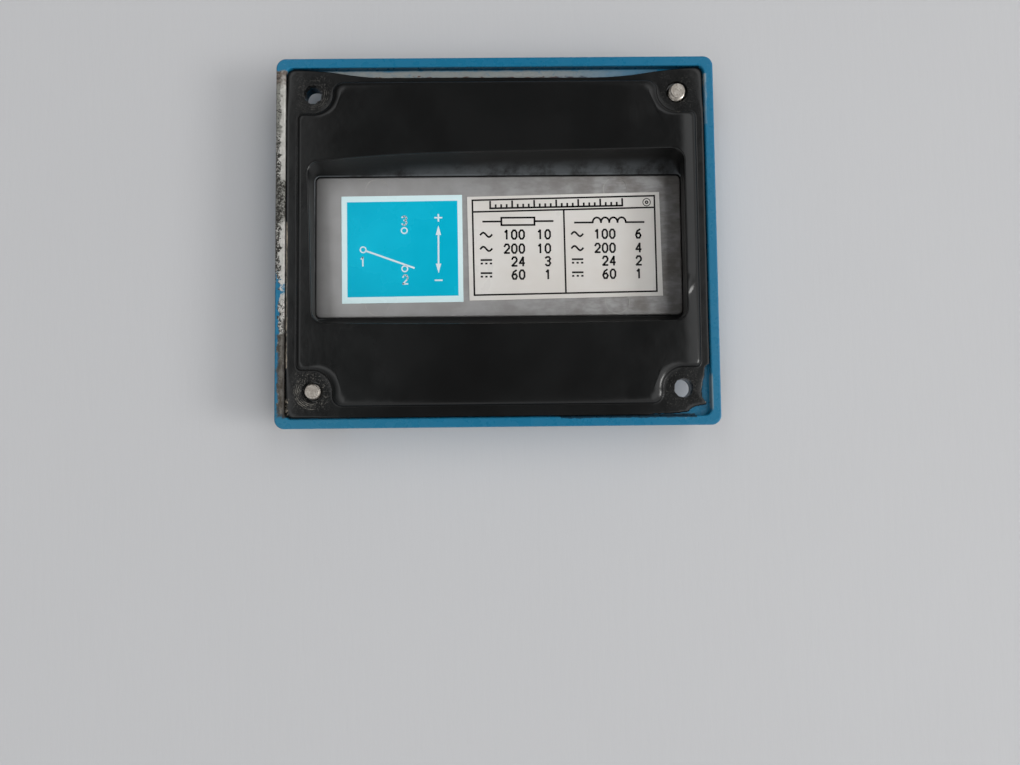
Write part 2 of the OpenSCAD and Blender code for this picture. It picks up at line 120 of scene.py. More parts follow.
class NodeSheet:
    """A node tree that is being drawn up, with short calls for the nodes that the finishes use."""

    def __init__(self, tree: Tree) -> None:
        """Start on a tree.

        Args:
            tree: Node tree that takes the nodes.
        """
        self.tree = tree

    def add(self, kind: str, **settings: object) -> Node:
        """Add one node.

        Args:
            kind: Blender's name of the node type.
            **settings: Properties to set on the node.

        Returns:
            The new node.
        """
        node = self.tree.nodes.new(kind)
        for name, value in settings.items():
            setattr(node, name, value)
        return node

    def feed(self, socket: Socket, value: Feed) -> None:
        """Link an output to a socket, or set the socket where value is a number or colour.

        Args:
            socket: Socket to feed.
            value: Output, number or colour.
        """
        if isinstance(value, Socket):
            self.tree.links.new(value, socket)
        else:
            socket.default_value = value

    def math(self, operation: str, first: Feed, second: Feed = 0.0) -> Socket:
        """Work out one sum or comparison.

        Args:
            operation: Name of the math operation.
            first: First number.
            second: Second number.

        Returns:
            The result's output.
        """
        node = self.add("ShaderNodeMath", operation=operation)
        self.feed(node.inputs[0], first)
        self.feed(node.inputs[1], second)
        return node.outputs[0]

    def plus(self, first: Feed, second: Feed) -> Socket:
        """Add two numbers."""
        return self.math("ADD", first, second)

    def minus(self, first: Feed, second: Feed) -> Socket:
        """Take the second number from the first."""
        return self.math("SUBTRACT", first, second)

    def rest_of(self, mask: Feed) -> Socket:
        """Turn a mask round, so that it covers the rest."""
        return self.minus(1.0, mask)

    def absolute(self, value: Feed) -> Socket:
        """Drop a number's sign."""
        return self.math("ABSOLUTE", value)

    def times(self, first: Feed, *others: Feed) -> Socket:
        """Multiply masks or numbers."""
        for other in others:
            first = self.math("MULTIPLY", first, other)
        return first

    def either(self, first: Feed, *others: Feed) -> Socket:
        """Take the stronger of several masks."""
        for other in others:
            first = self.math("MAXIMUM", first, other)
        return first

    def remap(self, value: Feed, low: Feed, high: Feed, to_low: float = 0.0,
              to_high: float = 1.0) -> Socket:
        """Ease a value from one range to another.

        Args:
            value: Number to change.
            low: Start of the old range.
            high: End of the old range.
            to_low: Result at low.
            to_high: Result at high.

        Returns:
            The eased number's output.
        """
        node = self.add("ShaderNodeMapRange", interpolation_type="SMOOTHSTEP")
        for socket, number in zip(node.inputs, (value, low, high, to_low, to_high)):
            self.feed(socket, number)
        return node.outputs[0]

    def band(self, value: Feed, low: float, high: float, soft: float) -> Socket:
        """Mask the values between two limits.

        Args:
            value: Number to test.
            low: Lower limit.
            high: Upper limit.
            soft: Half width of the fade at both limits.

        Returns:
            The mask.
        """
        return self.times(self.remap(value, low - soft, low + soft),
                          self.remap(value, high - soft, high + soft, 1.0, 0.0))

    def distance(self, x: Feed, y: Feed, centre: Pair) -> Socket:
        """Give the distance of a position from an upright axis."""
        across = self.minus(x, centre[0])
        along = self.minus(y, centre[1])
        return self.math("SQRT", self.plus(self.times(across, across), self.times(along, along)))

    def noise(self, place: Feed, scale: Feed, detail: float = 3.0, roughness: float = 0.55) -> Socket:
        """Make noise.

        Args:
            place: Position that the noise follows.
            scale: Lumps for each unit of length.
            detail: Number of finer layers.
            roughness: Strength of the finer layers.

        Returns:
            The noise value's output, around 0.5.
        """
        node = self.add("ShaderNodeTexNoise", noise_dimensions="3D")
        self.feed(node.inputs["Vector"], place)
        self.feed(node.inputs["Scale"], scale)
        node.inputs["Detail"].default_value = detail
        node.inputs["Roughness"].default_value = roughness
        return node.outputs[0]

    def mix(self, share: Feed, first: Feed, second: Feed) -> Socket:
        """Blend two colours.

        Args:
            share: 0 for the first colour, 1 for the second.
            first: First colour.
            second: Second colour.

        Returns:
            The blended colour's output.
        """
        node = self.add("ShaderNodeMix", data_type="RGBA")
        self.feed(node.inputs["Factor"], share)
        self.feed(node.inputs[6], first)
        self.feed(node.inputs[7], second)
        return node.outputs[2]

    def blend(self, share: Feed, first: Feed, second: Feed) -> Socket:
        """Blend two numbers.

        Args:
            share: 0 for the first number, 1 for the second.
            first: First number.
            second: Second number.

        Returns:
            The blended number's output.
        """
        node = self.add("ShaderNodeMix", data_type="FLOAT")
        self.feed(node.inputs[0], share)
        self.feed(node.inputs[2], first)
        self.feed(node.inputs[3], second)
        return node.outputs[0]

    def stretch(self, place: Feed, by: Triple) -> Socket:
        """Scale a position by its own amount on each axis.

        Args:
            place: Position to scale.
            by: Factor on each axis.

        Returns:
            The scaled position's output.
        """
        node = self.add("ShaderNodeVectorMath", operation="MULTIPLY")
        self.feed(node.inputs[0], place)
        node.inputs[1].default_value = by
        return node.outputs[0]

    def axes(self, vector: Feed) -> tuple[Socket, ...]:
        """Split a position into x, y and z."""
        node = self.add("ShaderNodeSeparateXYZ")
        self.feed(node.inputs[0], vector)
        return tuple(node.outputs)

    def up(self) -> Socket:
        """Give how far the surface faces up, from -1 to 1."""
        geometry = self.add("ShaderNodeNewGeometry")
        return self.axes(geometry.outputs["Normal"])[2]


class Effect(Enum):
    """Shared effects, by the name of their node group."""

    PATCH = "ragged_patch"
    SPECKS = "specks"
    CLOUDS = "clouds"
    RELIEF = "fine_relief"
    DUST = "settled_dust_and_sheen"
    SCRATCHES = "scratches"


class EffectShelf:
    """Node groups of the shared effects. Each group is built the first time it is asked for."""

    def __init__(self) -> None:
        """Start with an empty shelf."""
        self._trees: dict[Effect, Tree] = {}
        self._makers: dict[Effect, Callable[[], Tree]] = {
            Effect.PATCH: self._patch,
            Effect.SPECKS: self._specks,
            Effect.CLOUDS: self._clouds,
            Effect.RELIEF: self._relief,
            Effect.DUST: self._dust,
            Effect.SCRATCHES: self._scratches,
        }

    def use(self, sheet: NodeSheet, effect: Effect, **values: Feed) -> Socket:
        """Place an effect in a material.

        Args:
            sheet: Sheet of the material.
            effect: Effect to place.
            **values: The group's inputs by name.

        Returns:
            The effect's output.
        """
        if effect not in self._trees:
            self._trees[effect] = self._makers[effect]()
        node = sheet.add("ShaderNodeGroup", node_tree=self._trees[effect], label=effect.value)
        for name, value in values.items():
            sheet.feed(node.inputs[name], value)
        return node.outputs[0]

    @staticmethod
    def _open(effect: Effect, output: str, vectors: Sequence[str],
              numbers: dict[str, float]) -> tuple[NodeSheet, bpy.types.bpy_prop_collection, Socket]:
        """Start a node group.

        Args:
            effect: Effect that the group makes.
            output: Name of the single output.
            vectors: Names of the vector inputs.
            numbers: Names and default values of the number inputs.

        Returns:
            The sheet, the group's inputs by name and the socket that takes its result.
        """
        tree = bpy.data.node_groups.new(effect.value, "ShaderNodeTree")
        for name in vectors:
            tree.interface.new_socket(name=name, in_out="INPUT", socket_type="NodeSocketVector")
        for name, value in numbers.items():
            socket = tree.interface.new_socket(name=name, in_out="INPUT", socket_type="NodeSocketFloat")
            socket.default_value = value
        tree.interface.new_socket(name=output, in_out="OUTPUT", socket_type="NodeSocketFloat")
        sheet = NodeSheet(tree)
        return sheet, sheet.add("NodeGroupInput").outputs, sheet.add("NodeGroupOutput").inputs[0]

    def _patch(self) -> Tree:
        """Build a box-shaped mask with a soft or ragged outline.

        Returns:
            The group's tree.
        """
        sheet, given, result = self._open(Effect.PATCH, "Mask", ("Place", "Low", "High"),
                                          {"Feather": 0.3, "Ragged": 0.5, "Grain": 0.6})
        place = given["Place"]
        lumps = sheet.noise(place, given["Grain"], 4.0, 0.65)
        shift = sheet.times(sheet.minus(lumps, 0.5), given["Ragged"], 2.0)
        feather = given["Feather"]
        mask: Feed = 1.0
        for here, low, high in zip(sheet.axes(place), sheet.axes(given["Low"]),
                                   sheet.axes(given["High"])):
            moved = sheet.plus(here, shift)
            rise = sheet.remap(moved, sheet.minus(low, feather), sheet.plus(low, feather))
            fall = sheet.remap(moved, sheet.minus(high, feather), sheet.plus(high, feather), 1.0, 0.0)
            mask = sheet.times(rise, fall, mask)
        sheet.feed(result, mask)
        return sheet.tree

    def _specks(self) -> Tree:
        """Build crumbly specks of two sizes.

        Returns:
            The group's tree.
        """
        sheet, given, result = self._open(Effect.SPECKS, "Mask", ("Place",),
                                          {"Scale": 2.0, "Cover": 0.5, "Soft": 0.03})
        coarse = sheet.noise(given["Place"], given["Scale"], 3.0, 0.6)
        finer_scale = sheet.times(given["Scale"], 2.7)
        fine = sheet.noise(given["Place"], finer_scale, 3.0, 0.7)
        lumps = sheet.blend(0.45, coarse, fine)
        edge = sheet.remap(given["Cover"], 0.0, 1.0, 0.68, 0.32)
        soft = given["Soft"]
        mask = sheet.remap(lumps, sheet.minus(edge, soft), sheet.plus(edge, soft))
        sheet.feed(result, mask)
        return sheet.tree

    def _clouds(self) -> Tree:
        """Build broad soft variation from 0 to 1.

        Returns:
            The group's tree.
        """
        sheet, given, result = self._open(Effect.CLOUDS, "Value", ("Place",),
                                          {"Scale": 0.1, "Contrast": 0.2})
        lumps = sheet.noise(given["Place"], given["Scale"], 4.0, 0.5)
        low = sheet.minus(0.5, given["Contrast"])
        high = sheet.plus(0.5, given["Contrast"])
        sheet.feed(result, sheet.remap(lumps, low, high))
        return sheet.tree

    def _relief(self) -> Tree:
        """Build the fine unevenness of a sprayed, cast or moulded surface, as a height.

        Returns:
            The group's tree.
        """
        sheet, given, result = self._open(Effect.RELIEF, "Height", ("Place",), {"Scale": 1.5, "Grit": 0.3})
        broad = sheet.noise(given["Place"], given["Scale"], 2.0, 0.5)
        finer_scale = sheet.times(given["Scale"], 6.0)
        grit = sheet.noise(given["Place"], finer_scale, 3.0, 0.6)
        sheet.feed(result, sheet.blend(given["Grit"], broad, grit))
        return sheet.tree

    def _dust(self) -> Tree:
        """Build lumps on faces that look up, as a mask; the rubber uses it for dust and painted sheen.

        Returns:
            The group's tree.
        """
        sheet, given, result = self._open(Effect.DUST, "Mask", ("Place",), {"Scale": 0.8, "Amount": 0.3})
        lumps = sheet.noise(given["Place"], given["Scale"], 5.0, 0.7)
        level = sheet.remap(sheet.up(), 0.3, 0.95)
        start = sheet.remap(given["Amount"], 0.0, 1.0, 0.7, 0.3)
        mask = sheet.remap(lumps, start, sheet.plus(start, 0.3))
        sheet.feed(result, sheet.times(mask, level))
        return sheet.tree

    def _scratches(self) -> Tree:
        """Build thin straight scratches along x, as a mask.

        Returns:
            The group's tree.
        """
        sheet, given, result = self._open(Effect.SCRATCHES, "Mask", ("Place",),
                                          {"Scale": 1.0, "Cover": 0.3})
        lines = sheet.noise(sheet.stretch(given["Place"], (0.12, 3.0, 3.0)), given["Scale"], 2.0, 0.6)
        edge = sheet.remap(given["Cover"], 0.0, 1.0, 0.78, 0.5)
        mask = sheet.remap(lines, edge, sheet.plus(edge, 0.04))
        sheet.feed(result, mask)
        return sheet.tree


SHELF = EffectShelf()


class FinishSheet(NodeSheet):
    """Sheet of one material, with the position in millimetres that its effects follow."""

    def __init__(self, tree: Tree) -> None:
        """Start on a material's tree.

        Args:
            tree: Node tree of the material.
        """
        super().__init__(tree)
        coordinates = self.add("ShaderNodeTexCoord")
        self.place = self.stretch(coordinates.outputs["Object"], (1 / MM, 1 / MM, 1 / MM))
        self.x, self.y, self.z = self.axes(self.place)

    def effect(self, effect: Effect, stretch: Triple | None = None,
               **values: Feed) -> Socket:
        """Place a shared effect.

        Args:
            effect: Effect to place.
            stretch: Scale of the position on each axis, for an effect that isn't even.
            **values: The group's inputs by name.

        Returns:
            The effect's output.
        """
        place = self.stretch(self.place, stretch) if stretch else self.place
        return SHELF.use(self, effect, Place=place, **values)


@dataclass(frozen=True)
class Finish:
    """A finish that becomes one material."""

    name: str

    def material(self) -> Material:
        """Make the material.

        Returns:
            A new material with this finish.
        """
        made = bpy.data.materials.new(self.name)
        made.use_nodes = True
        self.draw(FinishSheet(made.node_tree), made.node_tree.nodes["Principled BSDF"])
        return made

    def draw(self, sheet: FinishSheet, shader: Node) -> None:
        """Connect the finish to its shader.

        Args:
            sheet: Sheet of the material.
            shader: Principled shader of the material.
        """
        raise NotImplementedError

    @staticmethod
    def bump(sheet: NodeSheet, shader: Node, height: Feed, depth_mm: float) -> None:
        """Raise the surface.

        Args:
            sheet: Sheet of the material.
            shader: Shader that takes the bent normal.
            height: Height over the surface.
            depth_mm: Real length of a height of 1.
        """
        node = sheet.add("ShaderNodeBump")
        node.inputs["Distance"].default_value = depth_mm * MM
        sheet.feed(node.inputs["Height"], height)
        sheet.feed(shader.inputs["Normal"], node.outputs[0])


@dataclass(frozen=True)
class PaintedCasting(Finish):
    """Satin blue paint on die-cast metal, bare round the label pad and worn off the left lip."""

    paint: Colour = srgb(19, 108, 145)
    greyer_blue: Colour = srgb(38, 110, 138)
    metal: Colour = srgb(212, 210, 205)
    lip_dirt: Colour = srgb(126, 126, 119)
    grime: Colour = srgb(52, 50, 46)
    rust: Colour = srgb(112, 98, 90)
    oil: Colour = srgb(60, 54, 46)
    pad_metal: Colour = srgb(175, 174, 174)
    pad_stain: Colour = srgb(122, 116, 110)
    marbling: Colour = srgb(88, 80, 74)
    pad_streak: Colour = srgb(176, 174, 172)
    ejector_ring: Colour = srgb(186, 184, 180)
    # Painted shade at the pad's ends, next to the window's walls.
    pad_end_shade: Colour = srgb(58, 56, 54)
    seat_metal: Colour = srgb(158, 162, 160)
    seat_rust: Colour = srgb(98, 62, 44)
    # Pale chips and wear, and a painted highlight along the right lip's inner edge.
    chipped_and_highlight: Colour = srgb(190, 186, 170)
    smeared: Colour = srgb(40, 36, 32)
    # Stuck black rubber, and painted shade along the top lip's foot.
    stuck_rubber_and_shade: Colour = srgb(14, 18, 24)
    # Painted shade inside the screw holes.
    bore_shade: Colour = srgb(10, 18, 26)

    def draw(self, sheet: FinishSheet, shader: Node) -> None:
        """Connect the finish to its shader.

        Args:
            sheet: Sheet of the material.
            shader: Principled shader of the material.
        """
        colour, bare = self._paint(sheet)
        colour, pad = self._pad(sheet, colour)
        shader.inputs["Specular IOR Level"].default_value = 0.3
        sheet.feed(shader.inputs["Base Color"], colour)
        metallic = sheet.either(sheet.times(bare, 0.35), sheet.times(pad, 0.55))
        sheet.feed(shader.inputs["Metallic"], metallic)
        satin = sheet.remap(sheet.noise(sheet.place, 0.35), 0.35, 0.65, 0.24, 0.34)
        worn = sheet.blend(bare, satin, 0.62)
        sheet.feed(shader.inputs["Roughness"], sheet.blend(pad, worn, 0.42))
        relief = sheet.effect(Effect.RELIEF, Scale=0.9, Grit=0.35)
        crumbs = sheet.effect(Effect.SPECKS, Scale=3.4, Cover=0.5)
        height = sheet.plus(sheet.times(relief, 0.35), sheet.times(bare, crumbs, 0.5))
        self.bump(sheet, shader, height, 0.08)

    def _paint(self, sheet: FinishSheet) -> tuple[Socket, Socket]:
        """Draw the paint with its wear.

        Args:
            sheet: Sheet of the material.

        Returns:
            The colour and the mask of bare metal.
        """
        # The blue turns greyer in soft clouds and towards the bottom left.
        fade = sheet.effect(Effect.CLOUDS, Scale=0.05, Contrast=0.25)
        lower = sheet.remap(sheet.y, -30.0, -44.0)
        leftward = sheet.remap(sheet.x, 30.0, -50.0)
        paint = sheet.mix(sheet.plus(sheet.times(fade, 0.25), sheet.times(lower, leftward, 0.5)),
                          self.paint, self.greyer_blue)
        worn = self._worn_lip(sheet)
        colour = sheet.mix(worn, paint, self._lip_metal(sheet))
        smudge = self._smudge(sheet)
        colour = sheet.mix(smudge, colour, self.oil)
        seat_bare = self._seat_wear(sheet)
        low_edge = sheet.remap(sheet.y, 42.2, 41.2)
        brown = sheet.effect(Effect.SPECKS, (0.5, 1.0, 1.0), Scale=0.9, Cover=sheet.times(low_edge, 0.5),
                             Soft=0.05)
        seat_metal = sheet.mix(brown, self.seat_metal, self.seat_rust)
        colour = sheet.mix(seat_bare, colour, seat_metal)
        # Chips and wear, with a painted highlight along the right lip's inner edge.
        chip_and_highlight = self._lip_chips_and_highlight(sheet)
        # Dirt and stuck rubber, with painted shade in the screw holes and along the top lip's foot.
        stains_and_shade = (self._smears(sheet), self._residue_and_shade(sheet), self._bore_shade(sheet))
        tones = (self.chipped_and_highlight, self.smeared, self.stuck_rubber_and_shade, self.bore_shade)
        for mask, tone in zip((chip_and_highlight, *stains_and_shade), tones):
            colour = sheet.mix(mask, colour, tone)
        bare = sheet.either(worn, seat_bare, chip_and_highlight)
        clean = sheet.rest_of(sheet.either(smudge, *stains_and_shade))
        return colour, sheet.times(bare, clean)

    def _bore_shade(self, sheet: FinishSheet) -> Socket:
        """Draw painted shade inside the four screw holes.

        Args:
            sheet: Sheet of the material.

        Returns:
            The mask.
        """
        reach = sheet.distance(sheet.absolute(sheet.x), sheet.absolute(sheet.y), SCREW_AT)
        patchy = sheet.effect(Effect.CLOUDS, Scale=0.6, Contrast=0.3)
        return sheet.times(sheet.remap(reach, 2.5, 3.1, 1.0, 0.0), sheet.remap(patchy, 0.0, 1.0, 0.75, 1.0))

    def _worn_lip(self, sheet: FinishSheet) -> Socket:
        """Draw where the left lip has lost its paint. Towards the bottom the outer half keeps it.

        Args:
            sheet: Sheet of the material.

        Returns:
            The mask.
        """
        lip = sheet.effect(Effect.PATCH, Low=(-56.0, -42.0, 11.9), High=(-51.2, 42.6, 15.0), Feather=0.25,
                           Ragged=0.7, Grain=0.7)
        drift = sheet.minus(sheet.noise(sheet.place, 0.7), 0.5)
        x = sheet.plus(sheet.x, sheet.times(drift, 3.0))
        y = sheet.plus(sheet.y, sheet.times(drift, 5.0))
        outer = sheet.remap(x, -52.5, -53.4)
        strip = sheet.band(y, -13.6, -10.2, 0.6)
        left_over = sheet.plus(sheet.times(outer, sheet.remap(y, -2.0, -18.0, 0.0, 0.8)),
                               sheet.times(strip, 0.5))
        kept = sheet.effect(Effect.SPECKS, (1.0, 0.6, 1.0), Scale=0.9, Cover=left_over, Soft=0.03)
        return sheet.times(lip, sheet.rest_of(kept))

    def _lip_metal(self, sheet: FinishSheet) -> Socket:
        """Draw the worn lip's metal, pale inside and speckled with black outside.

        Args:
            sheet: Sheet of the material.

        Returns:
            The colour.
        """
        drift = sheet.minus(sheet.noise(sheet.place, 0.9), 0.5)
        x = sheet.plus(sheet.x, sheet.times(drift, 2.6))
        y = sheet.plus(sheet.y, sheet.times(drift, 4.0))
        outer = sheet.remap(x, -52.3, -53.0)
        upper = sheet.band(y, 25.5, 60.0, 2.5)
        middle = sheet.band(y, 4.8, 15.8, 0.9)
        below = sheet.band(y, -24.0, -13.5, 1.0)
        stained = sheet.effect(Effect.CLOUDS, Scale=0.8, Contrast=0.16)
        dirty = sheet.either(sheet.times(outer, upper, 0.85), sheet.times(middle, 0.75),
                             sheet.times(outer, 0.22), sheet.times(stained, 0.3))
        metal = sheet.mix(dirty, self.metal, self.lip_dirt)
        corner = sheet.times(sheet.remap(y, 38.6, 40.2), sheet.remap(stained, 0.0, 1.0, 0.5, 0.95))
        metal = sheet.mix(corner, metal, self.rust)
        cover = sheet.either(sheet.times(outer, sheet.blend(upper, 0.58, 0.44)), sheet.times(middle, 0.52),
                             sheet.times(below, 0.46), 0.16)
        crumbs = sheet.effect(Effect.SPECKS, Scale=2.1, Cover=cover, Soft=0.03)
        return sheet.mix(crumbs, metal, self.grime)

    def _smudge(self, sheet: FinishSheet) -> Socket:
        """Draw the smooth olive film of old oil on the lower end of the left lip.

        Args:
            sheet: Sheet of the material.

        Returns:
            The mask.
        """
        film = sheet.effect(Effect.PATCH, Low=(-53.3, -42.9, 11.9), High=(-51.0, -22.6, 15.0), Feather=0.4,
                            Ragged=1.0, Grain=0.4)
        thin = sheet.effect(Effect.CLOUDS, (1.0, 0.4, 1.0), Scale=1.1, Contrast=0.18)
        holes = sheet.effect(Effect.SPECKS, Scale=1.7, Cover=0.26, Soft=0.08)
        whole = sheet.rest_of(sheet.times(holes, 0.4))
        return sheet.times(film, whole, sheet.remap(thin, 0.0, 1.0, 0.85, 1.0))

    def _seat_wear(self, sheet: FinishSheet) -> Socket:
        """Draw the bare stretch of the seat above the liner's shrunken top edge.

        Args:
            sheet: Sheet of the material.

        Returns:
            The mask.
        """
        strip = sheet.effect(Effect.PATCH, Low=(-46.5, 39.0, 10.9), High=(40.5, 43.0, 11.9), Feather=0.35,
                             Ragged=0.5, Grain=0.5)
        kept = sheet.effect(Effect.SPECKS, Scale=0.7, Cover=0.26, Soft=0.06)
        fading = sheet.remap(sheet.x, 8.0, 38.0, 1.0, 0.25)
        return sheet.times(strip, fading, sheet.rest_of(sheet.times(kept, 0.7)))

    def _lip_chips_and_highlight(self, sheet: FinishSheet) -> Socket:
        """Draw the pale rubbed edge inside the right lip, the chips at the bottom right and a painted
        highlight on the lip's edge.

        Args:
            sheet: Sheet of the material.

        Returns:
            The mask.
        """
        rubbed = sheet.effect(Effect.PATCH, Low=(51.2, 28.5, 12.3), High=(52.2, 41.2, 14.0), Feather=0.2,
                              Ragged=0.5, Grain=0.4)
        streaks = sheet.effect(Effect.SPECKS, (1.0, 0.35, 1.0), Scale=0.9, Cover=0.5, Soft=0.08)
        corner = sheet.effect(Effect.PATCH, Low=(46.5, -44.4, 11.0), High=(53.0, -30.0, 14.0), Feather=0.3,
                              Ragged=0.8, Grain=0.6)
        bits = sheet.effect(Effect.SPECKS, Scale=1.6, Cover=0.12, Soft=0.03)
        # Painted highlight: a thin pale line along the right lip's inner edge.
        line = sheet.times(sheet.band(sheet.x, 51.6, 52.05, 0.08), sheet.band(sheet.y, -41.8, -33.5, 0.6))
        bubbles = sheet.effect(Effect.PATCH, Low=(22.0, -45.2, 12.3), High=(52.5, -43.1, 14.0), Feather=0.2,
                               Ragged=0.5, Grain=0.4)
        top = sheet.times(rubbed, sheet.remap(sheet.y, 37.5, 39.5, 0.35, 0.95), sheet.either(streaks, 0.4))
        return sheet.either(top, sheet.times(corner, bits, 0.5), sheet.times(line, 0.35),
                            sheet.times(bubbles, bits, 0.35))

    def _smears(self, sheet: FinishSheet) -> Socket:
        """Draw the dark brown dirt along the inside of the left lip.

        Args:
            sheet: Sheet of the material.

        Returns:
            The mask.
        """
        inner = sheet.effect(Effect.PATCH, Low=(-52.0, -43.0, 11.9), High=(-51.0, -19.0, 14.0), Feather=0.2,
                             Ragged=0.4, Grain=0.35)
        foot = sheet.effect(Effect.PATCH, Low=(-52.0, -43.0, 10.9), High=(-51.0, 42.0, 12.5), Feather=0.15,
                            Ragged=0.3, Grain=0.4)
        grains = sheet.effect(Effect.SPECKS, Scale=1.3, Cover=0.72, Soft=0.12)
        return sheet.times(sheet.either(inner, foot), grains, 0.9)

    def _residue_and_shade(self, sheet: FinishSheet) -> Socket:
        """Draw the black rubber that stuck where the liner's corner tore off, and painted shade at the top
        lip's foot.

        Args:
            sheet: Sheet of the material.

        Returns:
            The mask.
        """
        corner = sheet.effect(Effect.PATCH, Low=(46.0, -43.6, 10.9), High=(52.0, -27.0, 12.7), Feather=0.2,
                              Ragged=0.5, Grain=0.6)
        bits = sheet.effect(Effect.SPECKS, Scale=1.1, Cover=0.22, Soft=0.02)
        low = sheet.effect(Effect.PATCH, Low=(15.0, -43.8, 10.9), High=(48.0, -42.9, 13.4), Feather=0.1,
                           Ragged=0.35, Grain=0.9)
        # Painted shade: a dark line along the foot of the top lip.
        foot = sheet.effect(Effect.PATCH, Low=(-50.0, 43.1, 10.9), High=(51.0, 43.6, 12.6), Feather=0.06,
                            Ragged=0.1, Grain=0.3)
        return sheet.either(sheet.times(corner, bits), sheet.times(low, 0.8), sheet.times(foot, 0.7))

    def _pad(self, sheet: FinishSheet, colour: Socket) -> tuple[Socket, Socket]:
        """Draw the unpainted inside, with the mottled label pad, its ejector rings and painted shade by the
        walls.

        Args:
            sheet: Sheet of the material.
            colour: Colour of the painted outside.

        Returns:
            The colour and the mask of the unpainted inside.
        """
        wide = sheet.effect(Effect.PATCH, Low=(-49.4, -28.5, 3.2), High=(49.4, 28.5, 10.9), Feather=0.05,
                            Ragged=0.0)
        tall = sheet.effect(Effect.PATCH, Low=(-36.4, -41.0, 3.2), High=(36.4, 41.0, 10.9), Feather=0.05,
                            Ragged=0.0)
        inside = sheet.either(wide, tall)
        mottle = sheet.effect(Effect.CLOUDS, Scale=0.22, Contrast=0.2)
        rightward = sheet.remap(sheet.x, -30.0, 46.0)
        stained = sheet.times(mottle, sheet.blend(rightward, 0.15, 0.68))
        tone = sheet.mix(stained, self.pad_metal, self.pad_stain)
        marble = sheet.effect(Effect.CLOUDS, (0.5, 1.3, 1.0), Scale=0.8, Contrast=0.12)
        tone = sheet.mix(sheet.times(marble, sheet.blend(rightward, 0.0, 0.26)), tone, self.marbling)
        streaks = sheet.effect(Effect.SCRATCHES, Scale=0.9, Cover=0.35)
        tone = sheet.mix(sheet.times(streaks, 0.42), tone, self.pad_streak)
        tone = sheet.mix(sheet.times(self._rings(sheet), 0.6), tone, self.ejector_ring)
        # Painted shade: the pad darkens towards the window's left and right walls.
        wall_shade = sheet.either(sheet.remap(sheet.x, -42.6, -46.2, 0.0, 0.6),
                            sheet.remap(sheet.x, 36.0, 45.5, 0.0, 0.34))
        tone = sheet.mix(wall_shade, tone, self.pad_end_shade)
        return sheet.mix(inside, colour, tone), inside

    def _rings(self, sheet: FinishSheet) -> Socket:
        """Draw the pale outline of each ejector mark.

        Args:
            sheet: Sheet of the material.

        Returns:
            The mask.
        """
        across = sheet.minus(sheet.absolute(sheet.x), 30.3)
        along = sheet.minus(sheet.absolute(sheet.minus(sheet.y, 0.1)), 14.45)
        square = sheet.plus(sheet.times(across, across), sheet.times(along, along))
        off = sheet.absolute(sheet.minus(sheet.math("SQRT", square), 3.0))
        line = sheet.remap(off, 0.06, 0.22, 1.0, 0.0)
        worn = sheet.effect(Effect.CLOUDS, Scale=0.5, Contrast=0.15)
        return sheet.times(line, worn)


